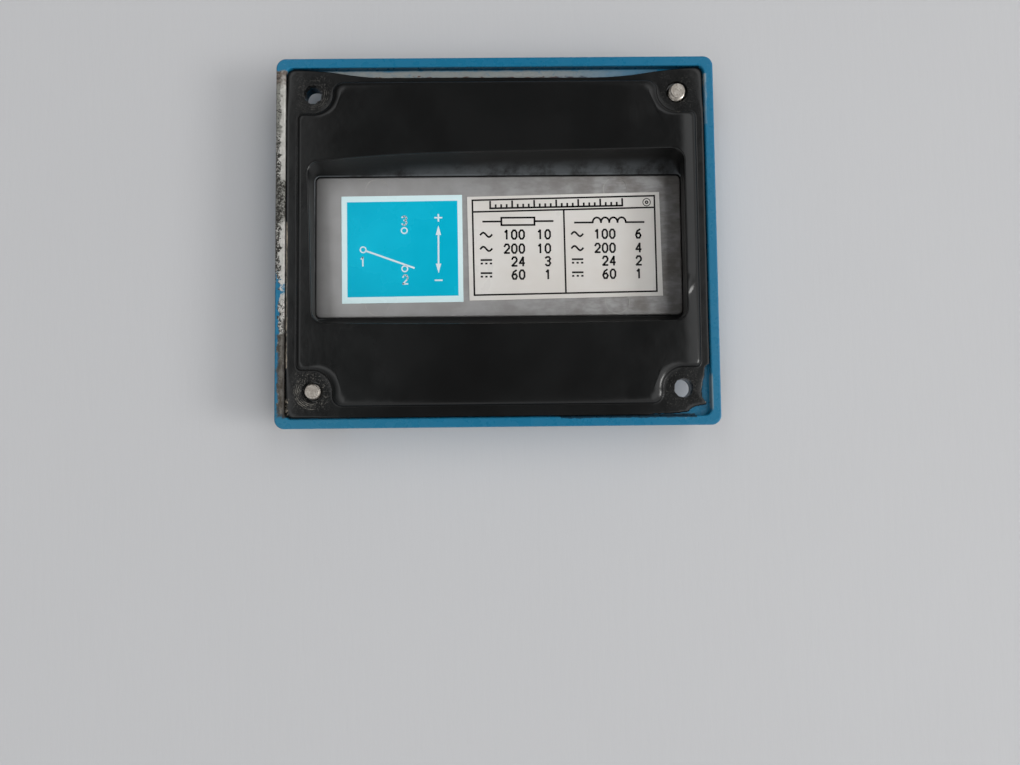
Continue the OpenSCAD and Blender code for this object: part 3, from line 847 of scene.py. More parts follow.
@dataclass(frozen=True)
class MouldedRubber(Finish):
    """Glossy black moulded rubber, dusty along its left edge and scuffed round the screws."""

    black: Colour = srgb(17, 17, 17)
    greyish_black: Colour = srgb(34, 36, 36)
    dust: Colour = srgb(172, 160, 144)
    # Dust and painted sheen on the window's walls.
    silt_and_sheen: Colour = srgb(84, 88, 91)
    scuff: Colour = srgb(128, 124, 116)
    lump_place: Pair = (45.86, -12.5)
    lump_r: float = 2.4
    lump_squash: float = 0.45
    lump_facing: float = -29.5
    lump_rise: float = 8.0
    top_z: float = 14.4

    def draw(self, sheet: FinishSheet, shader: Node) -> None:
        """Connect the finish to its shader.

        Args:
            sheet: Sheet of the material.
            shader: Principled shader of the material.
        """
        # The black turns greyer in soft clouds, more so towards the left.
        haze = sheet.effect(Effect.CLOUDS, Scale=0.045, Contrast=0.16)
        leftward = sheet.remap(sheet.x, -12.0, -50.0)
        colour = sheet.mix(sheet.times(haze, sheet.blend(leftward, 0.12, 0.42)), self.black, self.greyish_black)
        edge = self._edge_dust(sheet)
        scuffs = self._scuffs(sheet)
        wall = sheet.effect(Effect.PATCH, Low=(-48.6, -23.0, 5.0), High=(48.6, 23.5, 13.75), Feather=0.25,
                            Ragged=0.0)
        # Dust and painted sheen: the far and left walls of the window grow lighter towards their foot.
        dust_and_sheen = sheet.effect(Effect.DUST, Scale=0.14, Amount=0.95)
        far_wall = sheet.times(sheet.remap(sheet.y, 8.0, 17.5), sheet.remap(sheet.z, 13.0, 8.5, 0.1, 1.0))
        beside = sheet.either(far_wall, sheet.remap(sheet.x, -41.0, -45.5))
        colour = sheet.mix(sheet.times(wall, dust_and_sheen, beside), colour, self.silt_and_sheen)
        colour = sheet.mix(edge, colour, self.dust)
        colour = sheet.mix(scuffs, colour, self.scuff)
        shader.inputs["Specular IOR Level"].default_value = 0.3
        sheet.feed(shader.inputs["Base Color"], colour)
        smooth = sheet.remap(sheet.noise(sheet.place, 0.06, 4.0), 0.35, 0.65, 0.14, 0.24)
        dull = sheet.either(edge, scuffs)
        satin = sheet.blend(wall, smooth, 0.46)
        sheet.feed(shader.inputs["Roughness"], sheet.blend(dull, satin, 0.8))
        relief = sheet.effect(Effect.RELIEF, Scale=0.25, Grit=0.12)
        height = sheet.plus(sheet.plus(relief, sheet.times(scuffs, 0.3)), self._lump(sheet))
        self.bump(sheet, shader, height, 0.05)

    def _lump(self, sheet: FinishSheet) -> Socket:
        """Draw the long soft lump beside the window's right end.

        Args:
            sheet: Sheet of the material.

        Returns:
            Its height.
        """
        turn = math.radians(self.lump_facing)
        ahead, aside = math.cos(turn), math.sin(turn)
        across = sheet.minus(sheet.x, self.lump_place[0])
        along = sheet.minus(sheet.y, self.lump_place[1])
        facing = sheet.plus(sheet.times(across, ahead), sheet.times(along, aside))
        beside = sheet.minus(sheet.times(along, ahead), sheet.times(across, aside))
        away = sheet.distance(facing, sheet.times(beside, self.lump_squash), (0.0, 0.0))
        rise = sheet.remap(away, 0.0, self.lump_r, 1.0, 0.0)
        round_off = sheet.minus(3.0, sheet.times(rise, 2.0))
        on_top = sheet.remap(sheet.z, self.top_z - 0.8, self.top_z - 0.5)
        return sheet.times(rise, rise, round_off, on_top, self.lump_rise)

    def _edge_dust(self, sheet: FinishSheet) -> Socket:
        """Draw the thin line of dust along the flange's left edge.

        Args:
            sheet: Sheet of the material.

        Returns:
            The mask.
        """
        line = sheet.effect(Effect.PATCH, Low=(-51.7, -31.0, 12.0), High=(-51.08, 5.0, 13.0), Feather=0.12,
                            Ragged=0.35, Grain=0.3)
        grains = sheet.effect(Effect.SPECKS, (1.0, 0.25, 1.0), Scale=1.2, Cover=0.56, Soft=0.1)
        crumbs = sheet.effect(Effect.PATCH, Low=(-51.7, -43.2, 12.0), High=(-50.7, -38.5, 13.0),
                              Feather=0.2, Ragged=0.6, Grain=0.6)
        bits = sheet.effect(Effect.SPECKS, Scale=1.6, Cover=0.42, Soft=0.05)
        return sheet.either(sheet.times(line, grains, 0.85), sheet.times(crumbs, bits, 0.9))

    def _scuffs(self, sheet: FinishSheet) -> Socket:
        """Draw the scuffed rubber round the bottom left screw, and faint ones at the other corners.

        Args:
            sheet: Sheet of the material.

        Returns:
            The mask.
        """
        crumbs = sheet.effect(Effect.SPECKS, Scale=2.2, Cover=0.34, Soft=0.05)
        around = []
        for right, top, strength in ((-1, -1, 0.6), (1, -1, 0.22), (-1, 1, 0.24), (1, 1, 0.12)):
            x, y = right * SCREW_AT[0], top * SCREW_AT[1]
            patch = sheet.effect(Effect.PATCH, Low=(x - 4.2, y - 4.0, 11.5), High=(x + 4.2, y + 4.6, 13.4),
                                 Feather=1.3, Ragged=1.2, Grain=0.4)
            around.append(sheet.times(patch, strength))
        return sheet.either(sheet.times(sheet.either(*around), crumbs), self._rub_marks(sheet))

    def _rub_marks(self, sheet: FinishSheet) -> Socket:
        """Draw the fine round marks that washers rubbed beside two of the holes.

        Args:
            sheet: Sheet of the material.

        Returns:
            The mask.
        """
        drift = sheet.noise(sheet.place, 0.5)
        broken = sheet.effect(Effect.SPECKS, Scale=0.7, Cover=0.5, Soft=0.12)
        marks = []
        for top, spread, low, high, strength in (
                (-1, (2.9, 4.4), (-50.0, -41.6, 11.5), (-44.4, -35.4, 13.4), 0.95),
                (1, (2.7, 3.9), (-45.6, 32.0, 11.5), (-40.6, 37.8, 13.4), 0.4)):
            reach = sheet.distance(sheet.x, sheet.y, (-SCREW_AT[0], top * SCREW_AT[1]))
            turns = sheet.plus(sheet.times(reach, 2.3), sheet.times(drift, 1.5))
            off = sheet.absolute(sheet.minus(sheet.math("FRACT", turns), 0.5))
            line = sheet.remap(off, 0.08, 0.24, 1.0, 0.0)
            area = sheet.effect(Effect.PATCH, Low=low, High=high, Feather=0.7, Ragged=0.6)
            ring = sheet.band(reach, spread[0], spread[1], 0.25)
            marks.append(sheet.times(line, area, ring, broken, strength))
        return sheet.either(*marks)


@dataclass(frozen=True)
class LabelFilm(Finish):
    """Printed film whose tone drifts a little and that has picked up some dirt."""

    tone: Colour = srgb(224, 221, 217)
    aged: Colour = srgb(210, 203, 195)
    age: float = 0.5
    fleck: Colour = srgb(120, 112, 104)

    def draw(self, sheet: FinishSheet, shader: Node) -> None:
        """Connect the finish to its shader.

        Args:
            sheet: Sheet of the material.
            shader: Principled shader of the material.
        """
        cloud = sheet.effect(Effect.CLOUDS, Scale=0.09, Contrast=0.22)
        colour = sheet.mix(sheet.times(cloud, self.age), self.tone, self.aged)
        flecks = sheet.effect(Effect.SPECKS, Scale=2.4, Cover=0.06, Soft=0.03)
        colour = sheet.mix(sheet.times(flecks, 0.35), colour, self.fleck)
        sheet.feed(shader.inputs["Base Color"], colour)
        sheet.feed(shader.inputs["Roughness"], sheet.remap(cloud, 0.0, 1.0, 0.26, 0.36))
        relief = sheet.effect(Effect.RELIEF, Scale=0.5, Grit=0.3)
        self.bump(sheet, shader, relief, 0.012)


@dataclass(frozen=True)
class Ink(Finish):
    """Printed ink, slightly uneven."""

    tone: Colour
    thin: Colour

    def draw(self, sheet: FinishSheet, shader: Node) -> None:
        """Connect the finish to its shader.

        Args:
            sheet: Sheet of the material.
            shader: Principled shader of the material.
        """
        cloud = sheet.effect(Effect.CLOUDS, Scale=0.08, Contrast=0.25)
        pores = sheet.effect(Effect.SPECKS, Scale=3.2, Cover=0.16, Soft=0.05)
        share = sheet.plus(sheet.times(cloud, 0.6), sheet.times(pores, 0.3))
        shader.inputs["Specular IOR Level"].default_value = 0.2
        sheet.feed(shader.inputs["Base Color"], sheet.mix(share, self.tone, self.thin))
        sheet.feed(shader.inputs["Roughness"], sheet.remap(cloud, 0.0, 1.0, 0.22, 0.3))


@dataclass(frozen=True)
class PlatedSteel(Finish):
    """Plated steel, duller and browner where it has tarnished."""

    bright: Colour = srgb(206, 200, 192)
    tarnish: Colour = srgb(104, 90, 76)
    tarnished: float = 0.5

    def draw(self, sheet: FinishSheet, shader: Node) -> None:
        """Connect the finish to its shader.

        Args:
            sheet: Sheet of the material.
            shader: Principled shader of the material.
        """
        cloud = sheet.effect(Effect.CLOUDS, Scale=0.7, Contrast=0.18)
        spots = sheet.effect(Effect.SPECKS, Scale=2.6, Cover=0.44, Soft=0.06)
        dull = sheet.times(sheet.either(sheet.times(cloud, 0.6), spots), self.tarnished)
        sheet.feed(shader.inputs["Base Color"], sheet.mix(dull, self.bright, self.tarnish))
        sheet.feed(shader.inputs["Roughness"], sheet.blend(dull, 0.26, 0.6))
        sheet.feed(shader.inputs["Metallic"], sheet.blend(dull, 1.0, 0.7))
        relief = sheet.effect(Effect.RELIEF, Scale=2.0, Grit=0.5)
        self.bump(sheet, shader, relief, 0.02)


@dataclass(frozen=True)
class PaleMat(Finish):
    """Plain pale floor with a faint rib."""

    tone: Colour = srgb(197, 197, 199)
    shade: Colour = srgb(188, 188, 190)

    def draw(self, sheet: FinishSheet, shader: Node) -> None:
        """Connect the finish to its shader.

        Args:
            sheet: Sheet of the material.
            shader: Principled shader of the material.
        """
        cloud = sheet.effect(Effect.CLOUDS, Scale=0.01, Contrast=0.3)
        colour = sheet.mix(sheet.times(cloud, 0.12), self.tone, self.shade)
        sheet.feed(shader.inputs["Base Color"], colour)
        sheet.feed(shader.inputs["Roughness"], sheet.remap(cloud, 0.0, 1.0, 0.6, 0.7))
        relief = sheet.effect(Effect.RELIEF, (1.0, 0.15, 1.0), Scale=0.6, Grit=0.3)
        self.bump(sheet, shader, relief, 0.05)


def new_piece(name: str, shape: Shape, finish: Material, smooth_angle: float = 35.0) -> Piece:
    """Turn a shape in millimetres into an object in metres.

    Args:
        name: Name of the piece.
        shape: Shape to use up.
        finish: Material of the whole piece.
        smooth_angle: Edges sharper than this many degrees stay sharp.

    Returns:
        The new object, linked to the scene.
    """
    bmesh.ops.recalc_face_normals(shape, faces=shape.faces)
    bmesh.ops.scale(shape, vec=(MM, MM, MM), verts=shape.verts)
    mesh = bpy.data.meshes.new(name)
    shape.to_mesh(mesh)
    shape.free()
    piece = bpy.data.objects.new(name, mesh)
    bpy.context.collection.objects.link(piece)
    mesh.materials.append(finish)
    smooth(mesh, smooth_angle)
    return piece


def smooth(mesh: Mesh, angle: float) -> None:
    """Shade a mesh smoothly except at edges sharper than angle degrees."""
    mesh.polygons.foreach_set("use_smooth", [True] * len(mesh.polygons))
    mesh.set_sharp_from_angle(angle=math.radians(angle))


def split_wide_faces(mesh: Mesh) -> None:
    """Split faces of more than four corners into well-shaped triangles.

    Args:
        mesh: Mesh that is changed.
    """
    shape = bmesh.new()
    shape.from_mesh(mesh)
    wide = [face for face in shape.faces if len(face.verts) > 4]
    bmesh.ops.triangulate(shape, faces=wide, ngon_method="BEAUTY")
    shape.to_mesh(mesh)
    shape.free()


def carve(piece: Piece, cutters: Sequence[Piece], angle: float) -> None:
    """Cut solids out of a piece and throw the cutters away.

    Args:
        piece: Object to cut.
        cutters: Closed solids to cut away.
        angle: Edges sharper than this many degrees stay sharp.
    """
    for cutter in cutters:
        cut = piece.modifiers.new("cut", "BOOLEAN")
        cut.operation = "DIFFERENCE"
        cut.solver = "EXACT"
        cut.object = cutter
    shapes = bpy.context.evaluated_depsgraph_get()
    old = piece.data
    name = old.name
    piece.data = bpy.data.meshes.new_from_object(piece.evaluated_get(shapes))
    piece.modifiers.clear()
    bpy.data.meshes.remove(old)
    piece.data.name = name
    split_wide_faces(piece.data)
    smooth(piece.data, angle)
    for cutter in cutters:
        bpy.data.objects.remove(cutter)


def prism(shape: Shape, outline: Sequence[Pair], low: float, high: float) -> None:
    """Add a closed upright prism to a shape.

    Args:
        shape: Shape that takes the prism.
        outline: Corners seen from above, in millimetres.
        low: Height of its bottom.
        high: Height of its top.
    """
    bottom = [shape.verts.new((x, y, low)) for x, y in outline]
    top = [shape.verts.new((x, y, high)) for x, y in outline]
    shape.faces.new(bottom[::-1])
    shape.faces.new(top)
    for k in range(len(outline)):
        after = (k + 1) % len(outline)
        shape.faces.new((bottom[k], bottom[after], top[after], top[k]))


def closed_skin(shape: Shape, rings: Sequence[Sequence[Vector]], looped: bool) -> None:
    """Add a skin through rings of equal length.

    Args:
        shape: Shape that takes the skin.
        rings: Rings of points in millimetres.
        looped: True to join the last ring to the first, False to cap both ends.
    """
    made = [[shape.verts.new(point) for point in ring] for ring in rings]
    count = len(made[0])
    pairs = list(zip(made, made[1:]))
    if looped:
        pairs.append((made[-1], made[0]))
    else:
        shape.faces.new(made[0][::-1])
        shape.faces.new(made[-1])
    for here, there in pairs:
        for k in range(count):
            after = (k + 1) % count
            shape.faces.new((here[k], here[after], there[after], there[k]))


def turned(centre: Pair, radius: float, angle: float, height: float) -> Vector:
    """Give the point at a radius and an angle round an upright axis."""
    return Vector((centre[0] + radius * math.cos(angle), centre[1] + radius * math.sin(angle), height))


def lathe(shape: Shape, centre: Pair, profile: Sequence[Pair], steps: int,
          radius_at: Callable[[float, float, float], float] | None = None) -> None:
    """Add a closed turned solid.

    Args:
        shape: Shape that takes the solid.
        centre: Place of its axis.
        profile: Pairs of radius and height from one end of the axis to the other.
        steps: Points round the axis.
        radius_at: Changes a radius, given the radius, the height and the angle.
    """
    rings = []
    for radius, height in profile:
        ring = []
        for k in range(steps):
            angle = 2 * math.pi * k / steps
            here = radius_at(radius, height, angle) if radius_at else radius
            ring.append(turned(centre, here, angle, height))
        rings.append(ring)
    closed_skin(shape, rings, looped=False)


class Part(Enum):
    """Stretches of the plateau's outline in one quarter, from the side to the end."""

    SIDE = ("side", 26)
    SIDE_NOSE = ("side nose", 8)
    NOTCH_SIDE = ("notch side", 4)
    NOTCH = ("notch", 18)
    NOTCH_END = ("notch end", 3)
    END_NOSE = ("end nose", 10)
    END = ("end", 44)

    @property
    def steps(self) -> int:
        """Number of points on the stretch."""
        return self.value[1]


CORNER_PARTS = (Part.SIDE_NOSE, Part.NOTCH_SIDE, Part.NOTCH, Part.NOTCH_END, Part.END_NOSE)


@dataclass(frozen=True)
class Station:
    """One line of matching points, from the liner's outer edge in to its window."""

    right: int
    top: int
    part: Part
    along: float

    @property
    def turn(self) -> float:
        """How far round the corner the station lies, from 0 to 1."""
        total = sum(part.steps for part in CORNER_PARTS)
        before = sum(part.steps for part in CORNER_PARTS[:CORNER_PARTS.index(self.part)])
        return (before + self.part.steps * self.along) / total


Ring = Callable[[Station], Vector]


@dataclass
class Liner:
    """Moulded rubber liner: a flat flange, a plateau with four notched corners and a coved window."""

    body: str = "cover"
    seat_z: float = 11.2
    tab_z: float = 12.6
    pad_z: float = 5.8
    plate_z: float = 3.6
    thickness: float = 1.4
    flange_corner_r: float = 1.6
    screw_x: float = SCREW_AT[0]
    screw_y: float = SCREW_AT[1]
    plateau_w: float = 98.2
    plateau_l: float = 80.0
    plateau_right: float = 0.3
    plateau_down: float = 0.4
    notch_r: float = 5.0
    edge_h: float = 1.45
    side_edge_w: float = 1.4
    end_edge_w: float = 2.5
    foot_r: float = 0.2
    side_nose_r: float = 1.4
    end_nose_r: float = 2.6
    top_bow: float = 2.3
    pad_w: float = 92.8
    pad_l: float = 35.9
    pad_right: float = 0.5
    pad_up: float = 0.1
    window_gap: float = 0.15
    rim_lean: float = 0.9
    rim_slant: float = 0.031
    top_slope: float = 3.3
    bottom_slope: float = 2.4
    bottom_bow: float = 0.5
    rim_rise: float = 0.012
    cove_power: float = 3.0
    roll_r: float = 0.3
    rim_r: float = 0.4
    rim_corner_r: float = 3.0
    foot_corner_r: float = 1.2
    rim_dip: float = 2.0
    ridge_drop: float = 0.4
    wall_t: float = 0.9
    window_bend: Pair = (0.12, 0.88)
    flange_bend: Pair = (0.42, 0.58)
    held_hole: Triple = (2.04, 2.6, 2.85)
    torn_hole: Triple = (2.2, 2.35, 2.5)
    torn_corner: tuple[Pair, ...] = (
        (51.5, -30.3), (51.45, -30.8), (50.2, -31.6), (50.4, -32.9), (49.9, -35.1),
        (49.5, -37.7), (49.7, -39.2), (50.7, -40.5), (50.3, -40.9), (47.9, -41.2),
        (47.0, -41.7), (46.4, -42.4), (44.0, -42.8), (37.4, -42.9))
    box: tuple[Vector, Vector] = field(default_factory=lambda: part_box("liner"))

    def __post_init__(self) -> None:
        """Take the outer size and the top from the frame's own liner."""
        low, high = self.box
        self.flange_w = (high.x - low.x) / MM
        self.flange_l = (high.y - low.y) / MM
        self.top_z = high.z / MM

    def build(self, finish: Material) -> None:
        """Build the liner in place of the frame's own.

        Args:
            finish: Material of the rubber.
        """
        stations = self._stations()
        shape = bmesh.new()
        rings = [[level(station) for station in stations] for level in self._levels()]
        closed_skin(shape, rings, looped=True)
        piece = new_piece("rubber_liner", shape, finish, 40.0)
        carve(piece, self._hole_cutters(finish), 40.0)
        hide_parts("liner")
        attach(piece, self.body)

    def _stations(self) -> list[Station]:
        """List the stations, counter-clockwise from the middle of the right side.

        Returns:
            The stations.
        """
        stations = []
        for right, top in ((1, 1), (-1, 1), (-1, -1), (1, -1)):
            quarter = [Station(right, top, part, k / part.steps) for part in Part
                       for k in range(part.steps)]
            if right * top < 0:
                quarter = [Station(right, top, part, 1 - k / part.steps)
                           for part in reversed(Part) for k in range(part.steps)]
            stations.extend(quarter)
        return stations

    def _plateau(self, at: Station, inset: float) -> Vector:
        """Find a point of the plateau's outline.

        Args:
            at: Station of the point.
            inset: How far inside the outline it lies.

        Returns:
            The point, at height 0.
        """
        side = self.plateau_w / 2 + at.right * self.plateau_right - inset
        end = self.plateau_l / 2 - at.top * self.plateau_down - inset
        nose = self.side_nose_r - 0.4 * inset
        end_nose = self.end_nose_r - 0.4 * inset
        notch_x = self.screw_x - self.notch_r - inset
        notch_y = self.screw_y - self.notch_r - inset
        quarter = math.pi / 2 * at.along
        if at.part is Part.SIDE:
            x, y = side, (notch_y - nose) * at.along
        elif at.part is Part.SIDE_NOSE:
            x, y = side - nose + nose * math.cos(quarter), notch_y - nose + nose * math.sin(quarter)
        elif at.part is Part.NOTCH_SIDE:
            x, y = side - nose + (self.screw_x - side + nose) * at.along, notch_y
        elif at.part is Part.NOTCH:
            reach = self.notch_r + inset
            x, y = self.screw_x - reach * math.sin(quarter), self.screw_y - reach * math.cos(quarter)
        elif at.part is Part.NOTCH_END:
            x, y = notch_x, self.screw_y + (end - end_nose - self.screw_y) * at.along
        elif at.part is Part.END_NOSE:
            x = notch_x - end_nose + end_nose * math.cos(quarter)
            y = end - end_nose + end_nose * math.sin(quarter)
        else:
            x, y = (notch_x - end_nose) * (1 - at.along), end
        return Vector((at.right * x, at.top * y, 0))

    def _window(self, at: Station, wall: float, depth: float) -> Vector:
        """Find a point of the window's wall.

        Args:
            at: Station of the point.
            wall: How far it lies outside the wall's inner face.
            depth: 0 at the rim, 1 at the pad.

        Returns:
            The point, at height 0.
        """
        cove = depth ** self.cove_power
        rim = 1 - cove
        middle = self.plateau_right + (self.pad_right - self.plateau_right) * cove
        gap = self.window_gap * (1.0 if at.right > 0 else 0.25)
        half_w = self.pad_w / 2 + gap - self.rim_lean * rim + wall
        slope = self.top_slope if at.top > 0 else self.bottom_slope
        reach = self.pad_l / 2 + self.window_gap + slope * rim + wall
        radius = self.rim_corner_r + (self.foot_corner_r - self.rim_corner_r) * cove + wall

        def end_y(x: float) -> float:
            """Find how far the end edge lies from the middle of the pad.

            Args:
                x: Distance from the middle.

            Returns:
                The distance.
            """
            share = x / half_w
            if at.top < 0:
                return reach + self.bottom_bow * rim * (0.5 - share ** 2)
            dip = self.rim_dip * share ** 3 if at.right < 0 else 0.0
            return reach + rim * (at.right * self.rim_rise * x - dip)

        corner_x = half_w - radius
        corner_y = end_y(corner_x) - radius
        bend, end = self.window_bend
        if at.part is Part.SIDE:
            x, y = half_w, corner_y * 0.92 * at.along
        elif at.part is Part.END:
            x = corner_x * 0.95 * (1 - at.along)
            y = end_y(x)
        elif at.turn < bend:
            x, y = half_w, corner_y * (0.92 + 0.08 * at.turn / bend)
        elif at.turn > end:
            x = corner_x * (1 - 0.05 * (at.turn - end) / (1 - end))
            y = end_y(x)
        else:
            angle = math.pi / 2 * (at.turn - bend) / (end - bend)
            x, y = corner_x + radius * math.cos(angle), corner_y + radius * math.sin(angle)
        if at.right < 0:
            x += self.rim_slant * rim * at.top * y * ease((x - 30) / 14)
        return Vector((middle + at.right * x, self.pad_up + at.top * y, 0))

    def _flange(self, at: Station) -> Vector:
        """Find a point of the flange's outer edge, with its bow and its torn corner.

        Args:
            at: Station of the point.

        Returns:
            The point, at height 0.
        """
        half_w, half_l, radius = self.flange_w / 2, self.flange_l / 2, self.flange_corner_r
        outline = self._plateau(at, 0.0)
        if at.right > 0 > at.top and at.part in CORNER_PARTS:
            return self._torn(at.turn)
        if at.part is Part.SIDE:
            x, y = half_w, abs(outline.y)
        elif at.part is Part.END:
            x, y = abs(outline.x), half_l
        else:
            start = self._plateau(Station(at.right, at.top, Part.SIDE_NOSE, 0.0), 0.0)
            finish = self._plateau(Station(at.right, at.top, Part.END, 0.0), 0.0)
            bend, end = self.flange_bend
            if at.turn < bend:
                x, y = half_w, abs(start.y) + (half_l - radius - abs(start.y)) * at.turn / bend
            elif at.turn > end:
                share = (at.turn - end) / (1 - end)
                x, y = half_w - radius + (abs(finish.x) - half_w + radius) * share, half_l
            else:
                angle = math.pi / 2 * (at.turn - bend) / (end - bend)
                x = half_w - radius + radius * math.cos(angle)
                y = half_l - radius + radius * math.sin(angle)
        point = Vector((at.right * x, at.top * y, 0))
        if at.top > 0:
            u = point.x / half_w
            point.y -= self.top_bow * ease((u + 0.95) / 0.42) * ease((1.0 - u) / 0.5)
            point.y -= 0.2 * ease((u + 0.2) / 0.6) * ease((0.9 - u) / 0.3)
        point.x -= at.right * 0.12 * abs(wobble(point, 6.0, 1.0))
        point.y -= at.top * 0.12 * abs(wobble(point, 7.0, 2.0))
        return point

    def _torn(self, turn: float) -> Vector:
        """Find a point of the edge along which the bottom right corner tore off.

        Args:
            turn: How far round the corner the point lies, from 0 to 1.

        Returns:
            The point, at height 0.
        """
        corners = [Vector((x, y, 0)) for x, y in self.torn_corner]
        reach = [0.0]
        for here, there in zip(corners, corners[1:]):
            reach.append(reach[-1] + (there - here).length)
        at = turn * reach[-1]
        point = Vector((between([*zip(reach, (corner.x for corner in corners))], at),
                        between([*zip(reach, (corner.y for corner in corners))], at), 0))
        ragged = 0.3 * ease(turn / 0.1) * ease((1 - turn) / 0.1)
        point.x -= ragged * abs(wobble(point, 0.8, 3.0))
        point.y += ragged * abs(wobble(point, 0.7, 7.0))
        return point

    def _levels(self) -> list[Ring]:
        """List the rings of the liner's skin, from the flange's lower edge over the top and back.

        Returns:
            One function for each ring, which gives the ring's point at a station.
        """
        def edge(share: float, height: float) -> Ring:
            """Ring between the flange's edge and the plateau's foot.

            Args:
                share: 0 at the edge, 1 at the foot.
                height: Height of the ring.

            Returns:
                The ring's point at each station.
            """
            def point(at: Station) -> Vector:
                """Point of the ring at a station."""
                flat = self._flange(at).lerp(self._plateau(at, -self.foot_r), share)
                return Vector((flat.x, flat.y, height))
            return point

        def plateau(inset: float, height: float) -> Ring:
            """Ring along the plateau's outline."""
            return lambda at: self._settled(self._plateau(at, inset), height)

        def shoulder(share: float, height: float) -> Ring:
            """Ring on the plateau's rounded shoulder."""
            return lambda at: self._settled(self._plateau(at, share * self._edge_w(at)), height)

        def land(share: float) -> Ring:
            """Ring on the plateau's top, between its edge and the window's rim.

            Args:
                share: 0 at the plateau's edge, 1 at the rim.

            Returns:
                The ring's point at each station.
            """
            def point(at: Station) -> Vector:
                """Point of the ring at a station."""
                outer = self._plateau(at, self._edge_w(at))
                flat = outer.lerp(self._window(at, self.rim_r, 0.0), share)
                return self._settled(flat, self.top_z) + Vector((0, 0, self._bead(at, flat, share)))
            return point

        def window(wall: float, depth: float, height: float) -> Ring:
            """Ring on the window's wall."""
            return lambda at: self._settled(self._window(at, wall, depth), height)

        turns = [math.pi / 2 * k / 6 for k in range(7)]
        fine_turns = [math.pi / 2 * k / 11 for k in range(12)]
        rim_z = self.top_z - self.rim_r
        foot_z = self.pad_z + 0.15
        depths = [0.08, 0.18, 0.3, 0.42, 0.52, 0.61, 0.69, 0.76, 0.82, 0.87, 0.915, 0.95, 0.98]
        under = self.top_z - self.thickness
        levels = [edge(0.0, self.seat_z + 0.05), edge(0.0, self.tab_z - 0.4), edge(0.02, self.tab_z - 0.16),
                  edge(0.06, self.tab_z - 0.03), edge(0.12, self.tab_z)]
        levels += [edge(share, self.tab_z) for share in (0.3, 0.5, 0.7, 0.9)]
        levels += [plateau(self.foot_r * (math.sin(a) - 1), self.tab_z + self.foot_r * (1 - math.cos(a)))
                   for a in turns]
        levels += [shoulder(1 - math.cos(a), self.top_z - self.edge_h * (1 - math.sin(a)))
                   for a in fine_turns]
        levels += [land(share) for share in (0.03, 0.08, 0.16, 0.26, 0.38, 0.5, 0.62, 0.74, 0.84, 0.9,
                                             0.935, 0.955, 0.975, 1.0)]
        levels += [window(self.rim_r * (1 - math.sin(a)), 0.0, rim_z + self.rim_r * math.cos(a))
                   for a in turns[1:]]
        levels += [window(self.roll_r * depth ** 3, depth, rim_z - (rim_z - foot_z) * depth)
                   for depth in depths]
        levels += [window(self.roll_r * (1 - math.sin(a)), 1.0, foot_z - self.roll_r * (1 - math.cos(a)))
                   for a in turns]
        levels += [window(0.0, 1.0, self.plate_z + 0.1), window(self.wall_t, 1.0, self.plate_z + 0.1)]
        levels += [window(self.wall_t + self.roll_r * depth, depth,
                          rim_z - (rim_z - foot_z) * depth - 0.5 * depth)
                   for depth in (1.0, 0.8, 0.6, 0.4, 0.2)]
        levels += [window(self.wall_t, 0.0, under), plateau(self.thickness, under - 0.05),
                   plateau(self.thickness, self.tab_z), plateau(self.thickness + 0.25, self.seat_z + 0.05)]
        return levels

    def _edge_w(self, at: Station) -> float:
        """Give the width of the plateau's shoulder, which is narrow along the window's sides."""
        if at.part in (Part.SIDE, Part.END):
            return self.side_edge_w if at.part is Part.SIDE else self.end_edge_w
        return self.side_edge_w + (self.end_edge_w - self.side_edge_w) * ease((at.turn - 0.15) / 0.5)

    def _settled(self, flat: Vector, height: float) -> Vector:
        """Put a flat point at a height, with the unevenness that grows towards the top."""
        share = ease((height - self.tab_z) / (self.top_z - self.tab_z))
        return Vector((flat.x, flat.y, height + share * self._lumps(flat)))

    def _lumps(self, flat: Vector) -> float:
        """Give the slight unevenness of the moulded top and its fall along the right side."""
        side = self.plateau_w / 2 + self.plateau_right
        fall = self.ridge_drop * max(0.0, (flat.x - side + 4.6) / 4.6) ** 2
        return 0.05 * wobble(flat, 17.0, 4.0) - 0.03 - fall

    def _bead(self, at: Station, flat: Vector, share: float) -> float:
        """Give the height of the fine bead beside the window's lower rim.

        Args:
            at: Station of the point.
            flat: The point, at height 0.
            share: How far it lies from the plateau's edge to the rim.

        Returns:
            The extra height.
        """
        if at.top > 0:
            return 0.0
        reach = ease((flat.x + 40) / 6) * ease((16 - flat.x) / 6)
        return 0.12 * reach * max(0.0, 1 - abs(share - 0.955) / 0.02)

    def _hole_cutters(self, finish: Material) -> list[Piece]:
        """Make the solids that open the four corner holes.

        Args:
            finish: Material for the cut faces.

        Returns:
            The cutters.
        """
        cutters = []
        for right, top in ((1, 1), (-1, -1)):
            shape = bmesh.new()
            grip, groove, mouth = self.held_hole
            lathe(shape, (right * self.screw_x, top * self.screw_y),
                  ((grip, self.seat_z - 1), (grip, self.seat_z + 0.5), (groove, self.seat_z + 0.62),
                   (groove, self.tab_z - 0.15), (mouth, self.tab_z + 0.1), (mouth, self.tab_z + 1)), 56)
            cutters.append(new_piece("held_hole", shape, finish))
        for right, top, roughness, squeeze in ((-1, 1, 0.3, 0.92), (1, -1, 0.2, 0.97)):
            shape = bmesh.new()

            def torn(radius: float, height: float, angle: float, rough: float = roughness,
                     narrow: float = squeeze, seed: float = 5.0 * right) -> float:
                """Radius of the torn hole in one direction."""
                spot = Vector((3 * math.cos(angle), 3 * math.sin(angle), 0.5 * height))
                oval = 1 - (1 - narrow) * math.cos(angle) ** 2
                return radius * oval + rough * wobble(spot, 1.1, seed)

